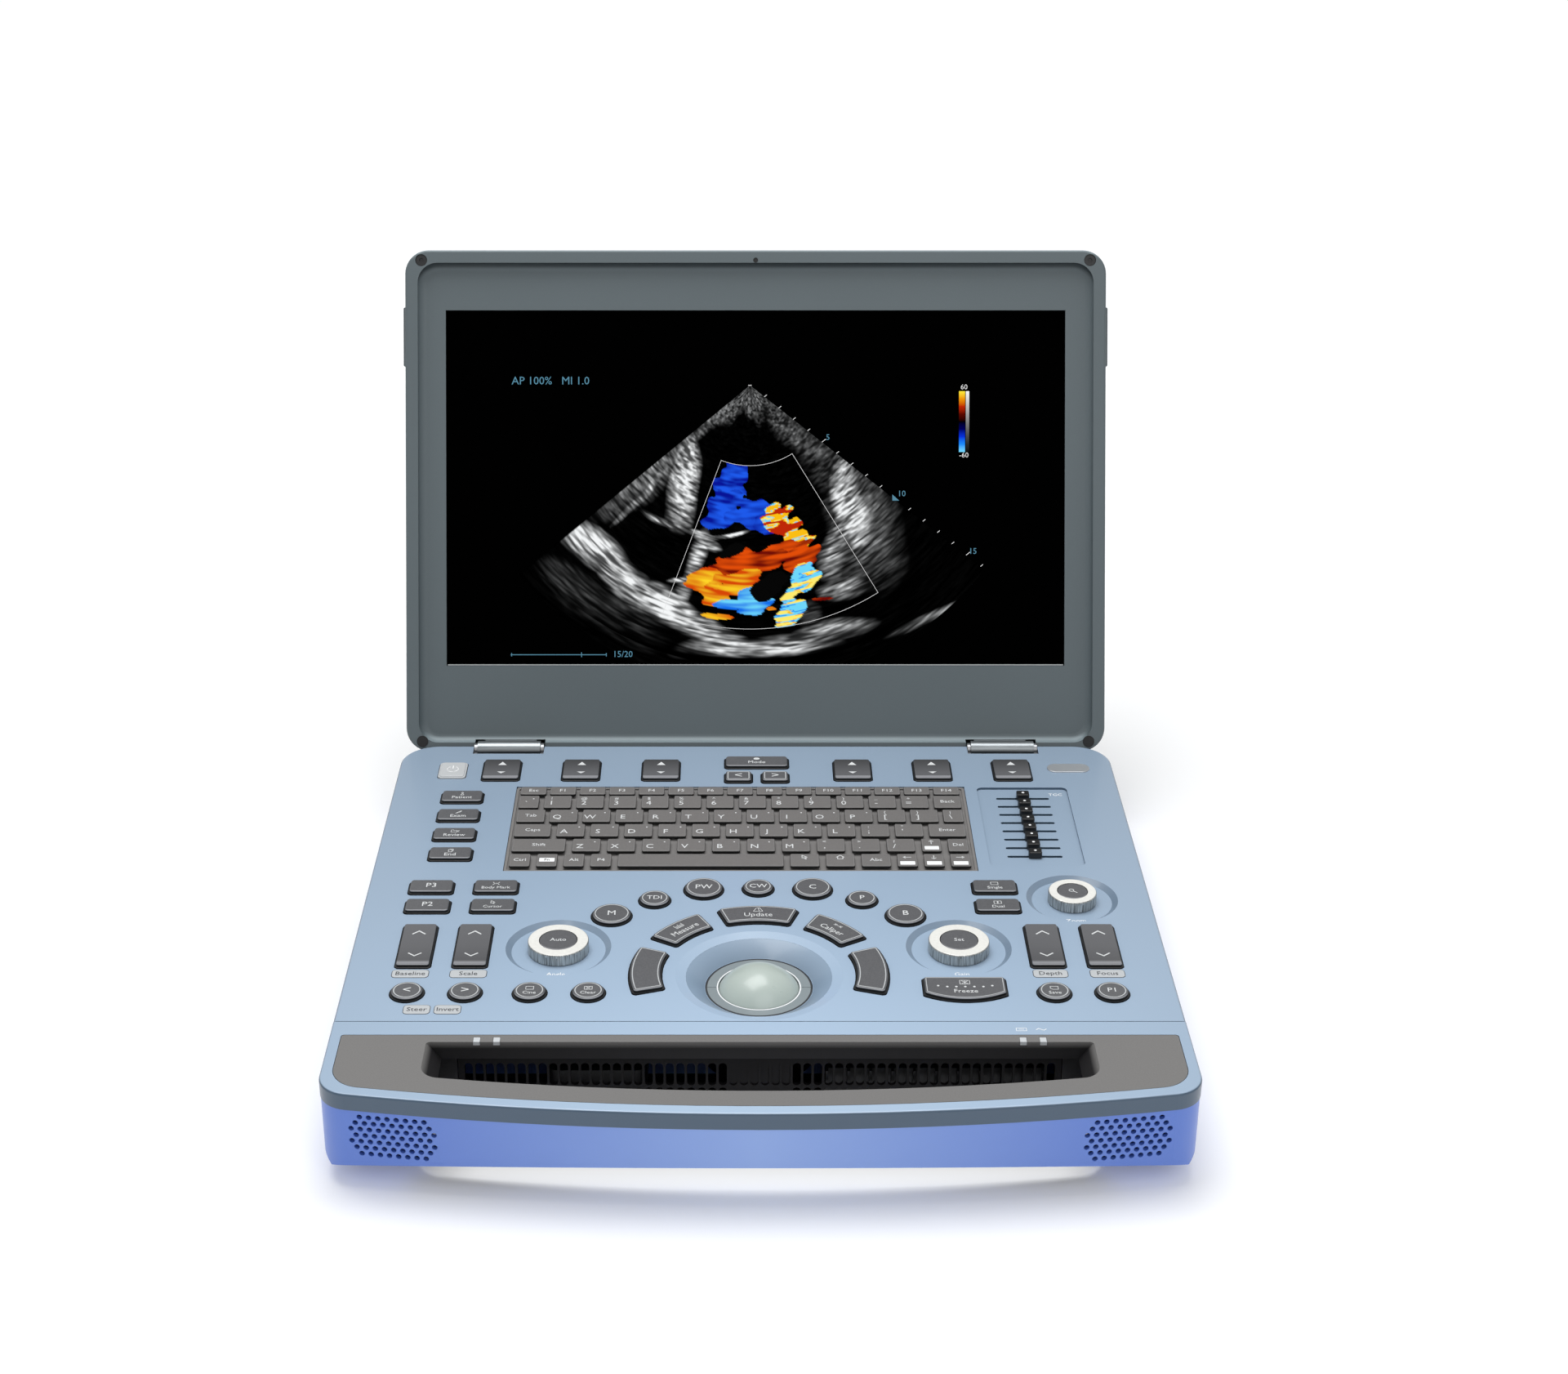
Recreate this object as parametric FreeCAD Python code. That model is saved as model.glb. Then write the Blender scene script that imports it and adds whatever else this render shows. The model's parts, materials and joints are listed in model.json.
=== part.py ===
"""Laptop-style veterinary ultrasound scanner: base with control panel and grip, hinged display lid.

Millimetres, +X to the user's right, -Y towards the user, +Z up. The origin is at the middle of the
footprint of the open scanner, on the surface that the feet rest on. Inside this file Y is measured
from the rear edge of the control panel, and place() moves every piece to the origin at the end.
"""
import FreeCAD, Part
import math
import os

V = FreeCAD.Vector

# Overall sizes
BASE_WIDTH = 389.0
BASE_DEPTH = 350.5
TOP_Z = 50.0
FOOT_HEIGHT = 4.0
REAR_EDGE_Y = 109.0
REAR_CORNER_RADIUS = 20.0
FRONT_CORNER_RADIUS = 15.0
FRONT_BOW_RADIUS = 1120.0
SEAM_Y = -278.0
BAND_HEIGHT = 8.2
WALL = 2.5
COVER_THICKNESS = 3.0
FRONT_UNDERCUT_Z = TOP_Z - 28.7
FRONT_UNDERCUT_DEG = 32.0
SIDE_CHAMFER = 9.0
PARTING_GAP = 0.2
KEY_GAP = 0.35

# Lid
LID_WIDTH = 388.2
LID_HEIGHT = 277.5
LID_TILT_DEG = 24.2
LID_CORNER_RADIUS = 13.0
HINGE_Y = -1.0
HINGE_Z = TOP_Z - 2.0
RIM_OFFSET = 2.6
LID_BELOW_AXIS = 1.0
BEZEL_DEPTH = 10.0
LID_THICKNESS = 22.0
BEZEL_RECESS = 5.0
BEZEL_SKIN = 2.2
RIM_WIDTH = 7.0
RIM_WIDTH_BOTTOM = 4.8
RECESS_FILLET = 4.6
SCREEN_WIDTH = 344.3
SCREEN_HEIGHT = 197.5
SCREEN_ABOVE_BOTTOM = 47.4
LATCH_LENGTH = 32.6
LATCH_BELOW_TOP = 31.3
LATCH_PROUD = 1.4

# Hinge barrels
BARREL_RADIUS = 4.8
BARREL_X = (119.2, 153.8)
NOTCH_X = (117.0, 156.0)
NOTCH_DEPTH = 9.8
HINGE_PIN_RADIUS = 2.0
PIN_FIT = 0.05
EAR_WIDTH = 1.7
EAR_RADIUS = 3.6

# Grip opening in the handle
GRIP_REAR_Y = -294.8
GRIP_HALF_WIDTH = 150.2
GRIP_END_Y = -321.9
GRIP_FRONT_Y = -333.0
GRIP_END_SLOPE = 6.5
TRIM_REAR_Y = -288.9
TRIM_HALF_WIDTH = 189.2
TRIM_FRONT_MARGIN = 6.0
SLOT_PITCH = 4.8
SLOT_COUNT = 56
SLOT_WIDTH = 3.7
SLOT_HEIGHT = 12.0
BLIND_SLOTS = 6

# Trackball, dish and knobs
BALL_Y = -238.0
BALL_RADIUS = 22.0
BALL_Z = TOP_Z - 18.8
BALL_GAP = 0.35
RING_Z = TOP_Z - 7.0
RING_RADIUS = 25.2
DISH_RADIUS = 39.4
DISH_WALL = 4.2
DISH_HOLE_RADIUS = DISH_RADIUS - 5.0
DISH_FLANGE_RADIUS = 38.0
RING_THICKNESS = 2.2
WELL_DEPTH = 2.0
KNOB_HEIGHT_ABOVE = 4.1
KNOBS = {
    "angle": (-95.8, -213.4, 14.6, 25.3, 9.0),
    "gain": (95.8, -213.4, 14.6, 25.3, 9.0),
    "zoom": (155.6, -167.0, 11.9, 22.6, 7.4),
}

# Keys: (x, y, radius) for the round ones and (x, y, width, depth) for the others
KEY_TOP = TOP_Z + 2.0
KEY_BOTTOM = TOP_Z - 5.0
SKIRT_TOP = TOP_Z + 0.6
SKIRT = 0.8
MODE_KEYS = [
    (-71.6, -184.8, 9.2), (-51.0, -169.8, 7.2), (-26.9, -159.3, 9.2), (0.2, -158.5, 7.2),
    (27.3, -159.3, 9.2), (51.4, -169.8, 7.2), (72.0, -184.8, 9.2),
]
ROUND_KEY_RADIUS = 7.3
ROUND_KEY_Y = -254.5
ROUND_KEYS_X = (-163.5, -136.6, -106.6, -79.4, 137.0, 163.8)
FLAT_KEY_SIZE = (21.0, 11.2)
FLAT_KEYS = [
    (-162.6, -157.8), (-162.6, -176.3), (-130.4, -157.8), (-130.4, -176.3), (118.0, -157.8), (118.0, -176.3),
    (-156.6, -62.4), (-156.6, -83.0), (-156.6, -103.7), (-156.6, -124.2),
]
MODE_BAR = (0.4, -22.2, 33.4, 11.2)
ARROW_KEYS = [(-9.5, -39.4, 13.6, 10.4), (10.3, -39.4, 13.6, 10.4)]
POWER_KEY = (-164.8, -30.6, 13.4, 16.4)
SECTOR_RADII = (46.5, 60.5)
SECTOR_KEYS = [(90.0, 18.5), (133.3, 14.5), (46.7, 14.5), (177.5, 19.0), (2.5, 19.0)]
FREEZE_KEY = (95.8, -243.0, 37.5, 13.0, 5.6)
TALL_ROCKERS = {
    "baseline_rocker": -163.6, "scale_rocker": -136.7, "depth_rocker": 136.9, "focus_rocker": 163.8,
}
TALL_ROCKER_Y = -213.5
TALL_ROCKER_SIZE = (15.4, 37.2)
SOFT_ROCKERS_X = (-138.2, -94.9, -51.6, 52.4, 95.7, 139.0)
SOFT_ROCKER_Y = -31.2
SOFT_ROCKER_SIZE = (19.2, 21.8)
ROCKER_PIVOT_Z = TOP_Z - 4.0

# Keyboard: rows of key widths, from the rear row to the front row
KEYBOARD_X = (-125.8, 108.3)
TRAY_X = (-128.6, 111.7)
TRAY_Y = (-140.0, -49.0)
TRAY_RIM = 1.4
TRAY_FLOOR_Z = TOP_Z - 1.2
KEYBOARD_ROWS = [
    (-56.0, 8.3, [13.7] * 15),
    (-68.5, 13.3, [10.5] + [14.4] * 13),
    (-84.0, 13.3, [14.7] + [14.6] * 12 + [10.5]),
    (-99.7, 13.1, [18.9] + [14.6] * 11 + [19.1]),
    (-115.5, 12.9, [27.4] + [14.4] * 10 + [10.0, 10.3]),
    (-131.2, 12.6, [10.4, 10.4, 10.3, 10.5, 84.2, 14.8, 14.7, 14.9, 10.2, 10.2, 10.1]),
]
KEYBOARD_TOP = TOP_Z + 1.5

# Gain-curve sliders
SLIDER_X = 142.0
SLIDER_FIRST_Y = -60.5
SLIDER_PITCH = 8.97
SLIDER_COUNT = 8
SLIDER_SLOT = 28.2
SLIDER_TRAY_X = (118.2, 166.5)
SLIDER_TRAY_Y = (-134.6, -49.9)
SLIDER_TRAY_DEPTH = 1.2

# Speaker holes
SPEAKER_X = 161.0
SPEAKER_Z = TOP_Z - 21.0
SPEAKER_ROWS = (8, 9, 10, 9, 10, 9, 8)
SPEAKER_PITCH = 4.1
SPEAKER_ROW_PITCH = 3.2
SPEAKER_HOLE_RADIUS = 1.25

# Ports
PROBE_PORT_Y = -118.0
PROBE_PORT_Z = 26.5
PROBE_PORT = (64.0, 21.0)
REAR_PANEL_X = (-70.0, 110.0)
REAR_PANEL_Z = (10.0, 34.0)
DC_INLET = (-50.0, 22.0, 4.0, 12.0)
REAR_PORTS = [
    (-18.0, 16.0, 15.0), (6.0, 13.0, 6.0), (26.0, 13.0, 6.0),
    (56.0, 31.0, 10.5), (89.0, 16.0, 15.0),
]
REAR_PORT_Z = 22.0

# Underside
FEET = [(-160.0, -60.0), (160.0, -60.0), (-150.0, -270.0), (150.0, -270.0)]
FOOT_RADIUS = 10.0
CASE_SCREWS = [
    (-178.0, -24.0), (178.0, -24.0), (-178.0, -280.0),
    (178.0, -280.0), (-60.0, -14.0), (60.0, -14.0),
]
CART_HOLES = (100.0, 100.0)
CART_CENTRE_Y = -165.0
CART_HOLE_RADIUS = 2.1
CART_HOLE_DEPTH = 8.0
UNDERSIDE_Z = FOOT_HEIGHT


def box(x0, x1, y0, y1, z0, z1):
    """Box between two corners."""
    return Part.makeBox(x1 - x0, y1 - y0, z1 - z0, V(x0, y0, z0))


def disc(x, y, radius, z0, z1):
    """Upright cylinder."""
    return Part.makeCylinder(radius, z1 - z0, V(x, y, z0))


def rod(axis, point, radius, length):
    """Cylinder from a point along an axis."""
    return Part.makeCylinder(radius, length, point, axis)


def upright_edges(shape):
    """Straight edges that run along Z."""
    found = []
    for edge in shape.Edges:
        ends = edge.Vertexes
        if len(ends) == 2 and abs(ends[0].X - ends[1].X) < 1e-6 and abs(ends[0].Y - ends[1].Y) < 1e-6:
            found.append(edge)
    return found


def level_edges(shape, z):
    """Edges that lie wholly at one height."""
    return [e for e in shape.Edges if abs(e.BoundBox.ZMin - z) < 1e-5 and abs(e.BoundBox.ZMax - z) < 1e-5]


def slab(x, y, width, depth, radius, z0, z1, top=0.0):
    """Upright block with rounded corners, and an optional round on its top edge."""
    block = box(x - width / 2, x + width / 2, y - depth / 2, y + depth / 2, z0, z1)
    block = block.makeFillet(radius, upright_edges(block))
    if top > 0:
        block = block.makeFillet(top, level_edges(block, z1))
    return block


def fuse(pieces):
    """One solid from touching pieces."""
    body = pieces[0]
    for piece in pieces[1:]:
        body = body.fuse(piece)
    return body.removeSplitter()


def cut(body, tools):
    """A body less every tool."""
    return body.cut(Part.makeCompound(tools))


def group(pieces):
    """Separate solids kept in one node."""
    return Part.makeCompound(pieces)


def plan_block(inset, z0, z1):
    """The base's plan: straight sides, round rear corners, bowed front with round corners."""
    half = BASE_WIDTH / 2 - inset
    sides = box(-half, half, -BASE_DEPTH - 5, -inset, z0, z1)
    bow = disc(0, FRONT_BOW_RADIUS - BASE_DEPTH, FRONT_BOW_RADIUS - inset, z0, z1)
    block = sides.common(bow)
    rear = [e for e in upright_edges(block) if e.Vertexes[0].Y > -100]
    block = block.makeFillet(REAR_CORNER_RADIUS - inset, rear)
    front = [e for e in upright_edges(block) if e.Vertexes[0].Y < -300 and abs(e.Vertexes[0].X) > half - 1]
    return block.makeFillet(FRONT_CORNER_RADIUS - inset, front)


def below_front(inset):
    """Wedge under the sloping front of the underside."""
    slope = math.radians(FRONT_UNDERCUT_DEG)
    lift = inset / math.cos(slope)
    y0 = -BASE_DEPTH - 20
    z_front = FRONT_UNDERCUT_Z + lift + 20 * math.tan(slope)
    run = (z_front + 30) / math.tan(slope)
    points = [V(-300, y0, z_front), V(-300, y0 + run, -30), V(-300, y0, -30), V(-300, y0, z_front)]
    return Part.Face(Part.makePolygon(points)).extrude(V(600, 0, 0))


def below_side(side, inset):
    """Wedge under the chamfer along one side of the underside."""
    x = side * (BASE_WIDTH / 2 - inset)
    z = UNDERSIDE_Z + inset
    reach = SIDE_CHAMFER
    points = [
        V(x + side, -400, z + reach + 1), V(x - side * reach, -400, z), V(x - side * reach, -400, z - 30),
        V(x + side, -400, z - 30), V(x + side, -400, z + reach + 1),
    ]
    return Part.Face(Part.makePolygon(points)).extrude(V(0, 500, 0))


def lower_block(inset, z_top):
    """The lower housing as a solid, with its sloping front and chamfered sides."""
    block = plan_block(inset, UNDERSIDE_Z + inset, z_top)
    return cut(block, [below_front(inset), below_side(1, inset), below_side(-1, inset)])


def grip_block(grow, z0, z1):
    """The hand opening: straight rear edge, bowed front edge, round ends."""
    rear = GRIP_REAR_Y + grow
    half = GRIP_HALF_WIDTH + grow
    sag = GRIP_END_Y - GRIP_FRONT_Y
    bow = (half * half + sag * sag) / (2 * sag)
    area = box(-half, half, GRIP_FRONT_Y - grow - 1, rear, z0, z1)
    block = area.common(disc(0, GRIP_FRONT_Y - grow + bow, bow, z0, z1))
    front = [e for e in upright_edges(block) if e.Vertexes[0].Y < rear - 5]
    block = block.makeFillet(9.0 + grow, front)
    back = [e for e in upright_edges(block) if e.Vertexes[0].Y > rear - 0.1]
    return block.makeFillet(2.0 + grow, back)


def trim_block(inset, z0, z1):
    """Outline of the dark trim plate around the grip."""
    half = TRIM_HALF_WIDTH - inset
    area = box(-half, half, -BASE_DEPTH, TRIM_REAR_Y - inset, z0, z1)
    margin = TRIM_FRONT_MARGIN + inset
    block = area.common(disc(0, FRONT_BOW_RADIUS - BASE_DEPTH, FRONT_BOW_RADIUS - margin, z0, z1))
    front = [e for e in upright_edges(block) if e.Vertexes[0].Y < -300]
    block = block.makeFillet(15.0 - inset, front)
    back = [e for e in upright_edges(block) if e.Vertexes[0].Y > TRIM_REAR_Y - inset - 0.1]
    return block.makeFillet(1.5, back)


def sector(centre_deg, half_deg, grow, z0, z1, corner, top=0.0):
    """Upright block on a ring sector around the trackball."""
    inner = SECTOR_RADII[0] - grow
    outer = SECTOR_RADII[1] + grow
    widen = math.degrees(grow / ((inner + outer) / 2))
    start = math.radians(centre_deg - half_deg - widen)
    middle = math.radians(centre_deg)
    end = math.radians(centre_deg + half_deg + widen)

    def at(radius, angle):
        return V(radius * math.cos(angle), BALL_Y + radius * math.sin(angle), z0)

    edges = [
        Part.Arc(at(outer, start), at(outer, middle), at(outer, end)).toShape(),
        Part.makeLine(at(outer, end), at(inner, end)),
        Part.Arc(at(inner, end), at(inner, middle), at(inner, start)).toShape(),
        Part.makeLine(at(inner, start), at(outer, start)),
    ]
    block = Part.Face(Part.Wire(edges)).extrude(V(0, 0, z1 - z0))
    block = block.makeFillet(corner, upright_edges(block))
    if top > 0:
        block = block.makeFillet(top, level_edges(block, z1))
    return block


def freeze_block(grow, z0, z1, top=0.0):
    """The freeze key: straight rear edge, short sides, bowed front edge."""
    x, rear, width, side, bow = FREEZE_KEY
    half = width / 2 + grow
    rear = rear + grow
    front = rear - side - 2 * grow
    edges = [
        Part.makeLine(V(x - half, rear, z0), V(x + half, rear, z0)),
        Part.makeLine(V(x + half, rear, z0), V(x + half, front, z0)),
        Part.Arc(V(x + half, front, z0), V(x, front - bow, z0), V(x - half, front, z0)).toShape(),
        Part.makeLine(V(x - half, front, z0), V(x - half, rear, z0)),
    ]
    block = Part.Face(Part.Wire(edges)).extrude(V(0, 0, z1 - z0))
    block = block.makeFillet(1.4, upright_edges(block))
    if top > 0:
        block = block.makeFillet(top, level_edges(block, z1))
    return block


def flat_key(x, y, width, depth, top_z=KEY_TOP):
    """Rectangular key: wide skirt in the panel with a raised cap."""
    skirt = slab(x, y, width + 2 * SKIRT, depth + 2 * SKIRT, 2.4, KEY_BOTTOM, SKIRT_TOP, 0.3)
    return fuse([skirt, slab(x, y, width, depth, 1.8, SKIRT_TOP - 1, top_z, 0.6)])


def round_key(x, y, radius):
    """Round key: wide skirt in the panel with a raised cap."""
    skirt = disc(x, y, radius + SKIRT, KEY_BOTTOM, SKIRT_TOP)
    cap = disc(x, y, radius, SKIRT_TOP - 1, KEY_TOP)
    return fuse([skirt, cap.makeFillet(0.7, level_edges(cap, KEY_TOP))])


def rocker(x, y, size, dish):
    """Rocker key on a level pivot, with a shallow dished top."""
    width, depth = size
    skirt = slab(x, y, width + 2 * SKIRT, depth + 2 * SKIRT, 1.6, ROCKER_PIVOT_Z - 1, SKIRT_TOP, 0.3)
    cap = slab(x, y, width, depth, 1.2, SKIRT_TOP - 1, KEY_TOP, 0.6)
    radius = (depth * depth / 4 + dish * dish) / (2 * dish)
    hollow = rod(V(1, 0, 0), V(x - width, y, KEY_TOP - dish + radius), radius, 2 * width)
    return fuse([skirt, cap.cut(hollow)])


def key_holes():
    """Openings in the control panel for every key and rocker."""
    z0 = TOP_Z - 12
    z1 = TOP_Z + 1
    grow = SKIRT + KEY_GAP
    holes = [disc(x, y, r + grow, z0, z1) for x, y, r in MODE_KEYS]
    holes += [disc(x, ROUND_KEY_Y, ROUND_KEY_RADIUS + grow, z0, z1) for x in ROUND_KEYS_X]
    flat = [(x, y) + FLAT_KEY_SIZE for x, y in FLAT_KEYS] + [MODE_BAR, POWER_KEY] + ARROW_KEYS
    flat += [(x, TALL_ROCKER_Y) + TALL_ROCKER_SIZE for x in TALL_ROCKERS.values()]
    flat += [(x, SOFT_ROCKER_Y) + SOFT_ROCKER_SIZE for x in SOFT_ROCKERS_X]
    holes += [slab(x, y, w + 2 * grow, d + 2 * grow, 2.4, z0, z1) for x, y, w, d in flat]
    holes += [sector(c, h, grow, z0, z1, 2.0) for c, h in SECTOR_KEYS]
    holes.append(freeze_block(grow, z0, z1))
    return holes


def dish_profile(drop):
    """Radial section of the trackball dish: round lip, smooth fall, flat seat for the ring."""
    z = TOP_Z - drop
    lip = V(DISH_RADIUS + drop, 0, z)
    shoulder = V(DISH_RADIUS - 5.0 + drop, 0, z - 1.1)
    seat = V(RING_RADIUS + KEY_GAP + drop, 0, RING_Z - drop)
    curve = Part.Arc(shoulder, V(DISH_RADIUS - 10.2 + drop, 0, z - 4.4), seat).toShape()
    return Part.makeLine(lip, shoulder), curve, seat


def dish_tool(drop, z_top):
    """Solid of revolution that fills the dish from the ring's seat upwards."""
    straight, curve, seat = dish_profile(drop)
    floor = V(0, 0, seat.z)
    edges = [
        straight, curve, Part.makeLine(seat, floor), Part.makeLine(floor, V(0, 0, z_top)),
        Part.makeLine(V(0, 0, z_top), V(DISH_RADIUS + drop, 0, z_top)),
    ]
    if z_top > TOP_Z - drop:
        edges.append(Part.makeLine(V(DISH_RADIUS + drop, 0, z_top), V(DISH_RADIUS + drop, 0, TOP_Z - drop)))
    face = Part.Face(Part.Wire(Part.__sortEdges__(edges)))
    solid = face.revolve(V(0, 0, 0), V(0, 0, 1), 360)
    solid.translate(V(0, BALL_Y, 0))
    return solid


def well(x, y, radius, grow, z1):
    """Round well under a knob, with a sloping wall."""
    floor = TOP_Z - WELL_DEPTH - grow
    cone = Part.makeCone(radius - 2.8 + grow, radius + grow, TOP_Z - floor, V(x, y, floor))
    if z1 > TOP_Z:
        cone = cone.fuse(disc(x, y, radius + grow, TOP_Z, z1))
    return cone


def edge_round(block, radius, keep):
    """Round the top edge of a panel except where it meets its neighbour."""
    edges = [e for e in level_edges(block, TOP_Z) if keep(e.BoundBox)]
    return block.makeFillet(radius, edges)


def top_cover():
    """Control panel cover, from the rear edge to the seam."""
    outer = plan_block(0.0, TOP_Z - BAND_HEIGHT, TOP_Z)
    outer = outer.cut(box(-300, 300, -400, SEAM_Y + PARTING_GAP, 0, 100))
    outer = edge_round(outer, 1.6, lambda b: b.YMax > SEAM_Y + 1)
    inner = plan_block(WALL, TOP_Z - BAND_HEIGHT - 1, TOP_Z - COVER_THICKNESS)
    shell = outer.cut(inner)
    cups = [well(x, y, w, WALL, TOP_Z) for x, y, r, w, b in KNOBS.values()]
    cups = [cup.common(box(-300, 300, -300, 0, 0, TOP_Z - 1)) for cup in cups]
    shell = fuse([shell] + cups)
    tools = [well(x, y, w, 0.0, TOP_Z + 2) for x, y, r, w, b in KNOBS.values()]
    tools += [disc(x, y, b + 2.0, 0, TOP_Z + 2) for x, y, r, w, b in KNOBS.values()]
    tools += [dish_tool(0.0, TOP_Z + 2), disc(0, BALL_Y, DISH_HOLE_RADIUS, 0, TOP_Z + 2)]
    tools += [box(TRAY_X[0], TRAY_X[1], TRAY_Y[0], TRAY_Y[1], 0, 100)]
    tray_x = sum(SLIDER_TRAY_X) / 2
    tray_y = sum(SLIDER_TRAY_Y) / 2
    tray_w = SLIDER_TRAY_X[1] - SLIDER_TRAY_X[0]
    tray_d = SLIDER_TRAY_Y[1] - SLIDER_TRAY_Y[0]
    tools.append(slab(tray_x, tray_y, tray_w, tray_d, 3.0, TOP_Z - SLIDER_TRAY_DEPTH, TOP_Z + 1))
    for y in slider_rows():
        tools.append(slab(SLIDER_X, y, SLIDER_SLOT, 2.0, 0.9, 0, 100))
    for side in (-1, 1):
        x0, x1 = sorted((side * NOTCH_X[0], side * NOTCH_X[1]))
        tools.append(box(x0, x1, -NOTCH_DEPTH, 5, 0, 100))
    return cut(shell, tools + key_holes())


def slider_rows():
    """Y of each gain-curve slider."""
    return [SLIDER_FIRST_Y - SLIDER_PITCH * i for i in range(SLIDER_COUNT)]


def handle_frame():
    """Light frame around the grip, with a rounded front band."""
    outer = plan_block(0.0, TOP_Z - BAND_HEIGHT, TOP_Z)
    outer = outer.common(box(-300, 300, -400, SEAM_Y - PARTING_GAP, 0, 100))
    outer = edge_round(outer, 1.2, lambda b: b.YMin < SEAM_Y - 1 and b.YMax - b.YMin > 0.01)
    inner = plan_block(WALL, TOP_Z - BAND_HEIGHT - 1, TOP_Z - COVER_THICKNESS)
    shelf = trim_block(0.0, TOP_Z - COVER_THICKNESS - 1, 100)
    return cut(outer, [inner.cut(trim_block(-1.8, 0, 100)), shelf, trim_block(1.8, 0, 100)])


def handle_trim():
    """Dark trim plate let into the frame, with a lip that lines the grip opening."""
    plate = trim_block(0.25, TOP_Z - 2.6, TOP_Z)
    lip = grip_block(2.0, TOP_Z - 9.0, TOP_Z - 1)
    opening = cut(grip_block(0.0, 0, 100), [end_slope(side) for side in (-1, 1)])
    windows = [box(x - 1.65, x + 1.65, -296.0, -290.75, TOP_Z - 2.2, 100) for x in INDICATORS_X]
    return cut(fuse([plate, lip]), [opening] + windows)


INDICATORS_X = (-127.6, -118.6, 118.6, 127.6)


def end_slope(side):
    """Wedge left standing at one end of the grip opening, so that it narrows downwards."""
    edge = side * GRIP_HALF_WIDTH
    inner = side * (GRIP_HALF_WIDTH - GRIP_END_SLOPE)
    outer = side * (GRIP_HALF_WIDTH + 5)
    profile = [(edge, TOP_Z + 0.01), (inner, TOP_Z - 9.0), (inner, -1), (outer, -1), (outer, TOP_Z + 0.01)]
    points = [V(x, -400, z) for x, z in profile + profile[:1]]
    return Part.Face(Part.makePolygon(points)).extrude(V(0, 200, 0))


def indicator_windows():
    """Four clear light windows in the rear edge of the trim."""
    return group([box(x - 1.5, x + 1.5, -294.6, -290.9, TOP_Z - 1.9, TOP_Z - 0.1) for x in INDICATORS_X])


def bottom_shell():
    """Lower housing with the grip's well, vents, speaker holes and ports."""
    z_top = TOP_Z - BAND_HEIGHT - PARTING_GAP
    outer = lower_block(0.3, z_top)
    inner = lower_block(0.3 + WALL, z_top + 1).cut(grip_block(2.0 + WALL, 0, 100))
    tools = [inner, grip_block(2.2, 0, 100)]
    tools.append(box(-137, 137, GRIP_REAR_Y + 1, GRIP_REAR_Y + 8, TOP_Z - 39, TOP_Z - 9.5))
    tools += speaker_holes()
    tools.append(box(-200, -180, PROBE_PORT_Y - PROBE_PORT[0] / 2, PROBE_PORT_Y + PROBE_PORT[0] / 2,
                     PROBE_PORT_Z - PROBE_PORT[1] / 2, PROBE_PORT_Z + PROBE_PORT[1] / 2))
    tools.append(box(REAR_PANEL_X[0], REAR_PANEL_X[1], -WALL - 3, 5, REAR_PANEL_Z[0], REAR_PANEL_Z[1]))
    for side in (-1, 1):
        for i in range(16):
            y = -70.0 - 6.0 * i if side > 0 else -180.0 - 6.0 * i
            if y > -258:
                tools.append(box(side * 190 - 10, side * 190 + 10, y - 1.2, y + 1.2, 20.0, 36.0))
    tools += [disc(x, y, 1.7, 0, 20) for x, y in CASE_SCREWS]
    shell = cut(outer, tools)
    bosses = [disc(x, y, 7.0, UNDERSIDE_Z + 1, UNDERSIDE_Z + CART_HOLE_DEPTH + 2) for x, y in cart_points()]
    holes = [disc(x, y, CART_HOLE_RADIUS, 0, UNDERSIDE_Z + CART_HOLE_DEPTH) for x, y in cart_points()]
    return cut(fuse([shell] + bosses), holes)


def cart_points():
    """Centres of the four threaded holes for a cart or dock."""
    x = CART_HOLES[0] / 2
    y = CART_HOLES[1] / 2
    return [(sx * x, CART_CENTRE_Y + sy * y) for sx in (-1, 1) for sy in (-1, 1)]


def speaker_holes():
    """Two staggered fields of round holes in the front corners."""
    holes = []
    for side in (-1, 1):
        for row, count in enumerate(SPEAKER_ROWS):
            z = SPEAKER_Z + SPEAKER_ROW_PITCH * ((len(SPEAKER_ROWS) - 1) / 2 - row)
            for i in range(count):
                x = side * SPEAKER_X + SPEAKER_PITCH * (i - (count - 1) / 2)
                holes.append(rod(V(0, 1, 0), V(x, -360, z), SPEAKER_HOLE_RADIUS, 40))
    return holes


def vent_grille():
    """Slotted plate in the rear wall of the grip, with a few blind slots in the middle."""
    y0 = GRIP_REAR_Y + 2.4
    plate = box(-136.7, 136.7, y0, y0 + 2.0, TOP_Z - 38.7, TOP_Z - 9.8)
    tools = []
    for row in range(2):
        z = TOP_Z - 19.0 - 13.2 * row
        for i in range(SLOT_COUNT):
            x = SLOT_PITCH * (i - (SLOT_COUNT - 1) / 2)
            blind = abs(i - (SLOT_COUNT - 1) / 2) < BLIND_SLOTS / 2
            y_end = y0 + 0.7 if blind else y0 + 4
            half = SLOT_WIDTH / 2
            tool = box(x - half, x + half, y0 - 1, y_end, z - SLOT_HEIGHT / 2, z + SLOT_HEIGHT / 2)
            along = [e for e in tool.Edges if abs(e.BoundBox.YLength - (y_end - y0 + 1)) < 1e-5]
            tools.append(tool.makeFillet(SLOT_WIDTH / 2 - 0.05, along))
    return cut(plate, tools)


def speakers():
    """Two small loudspeakers behind the front holes."""
    pieces = []
    for side in (-1, 1):
        x = side * 166.0
        frame = rod(V(0, 1, 0), V(x, -331.0, SPEAKER_Z - 0.4), 12.5, 3.0)
        magnet = rod(V(0, 1, 0), V(x, -328.0, SPEAKER_Z - 0.4), 7.0, 7.0)
        pieces.append(fuse([frame, magnet]))
    return group(pieces)


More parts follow.
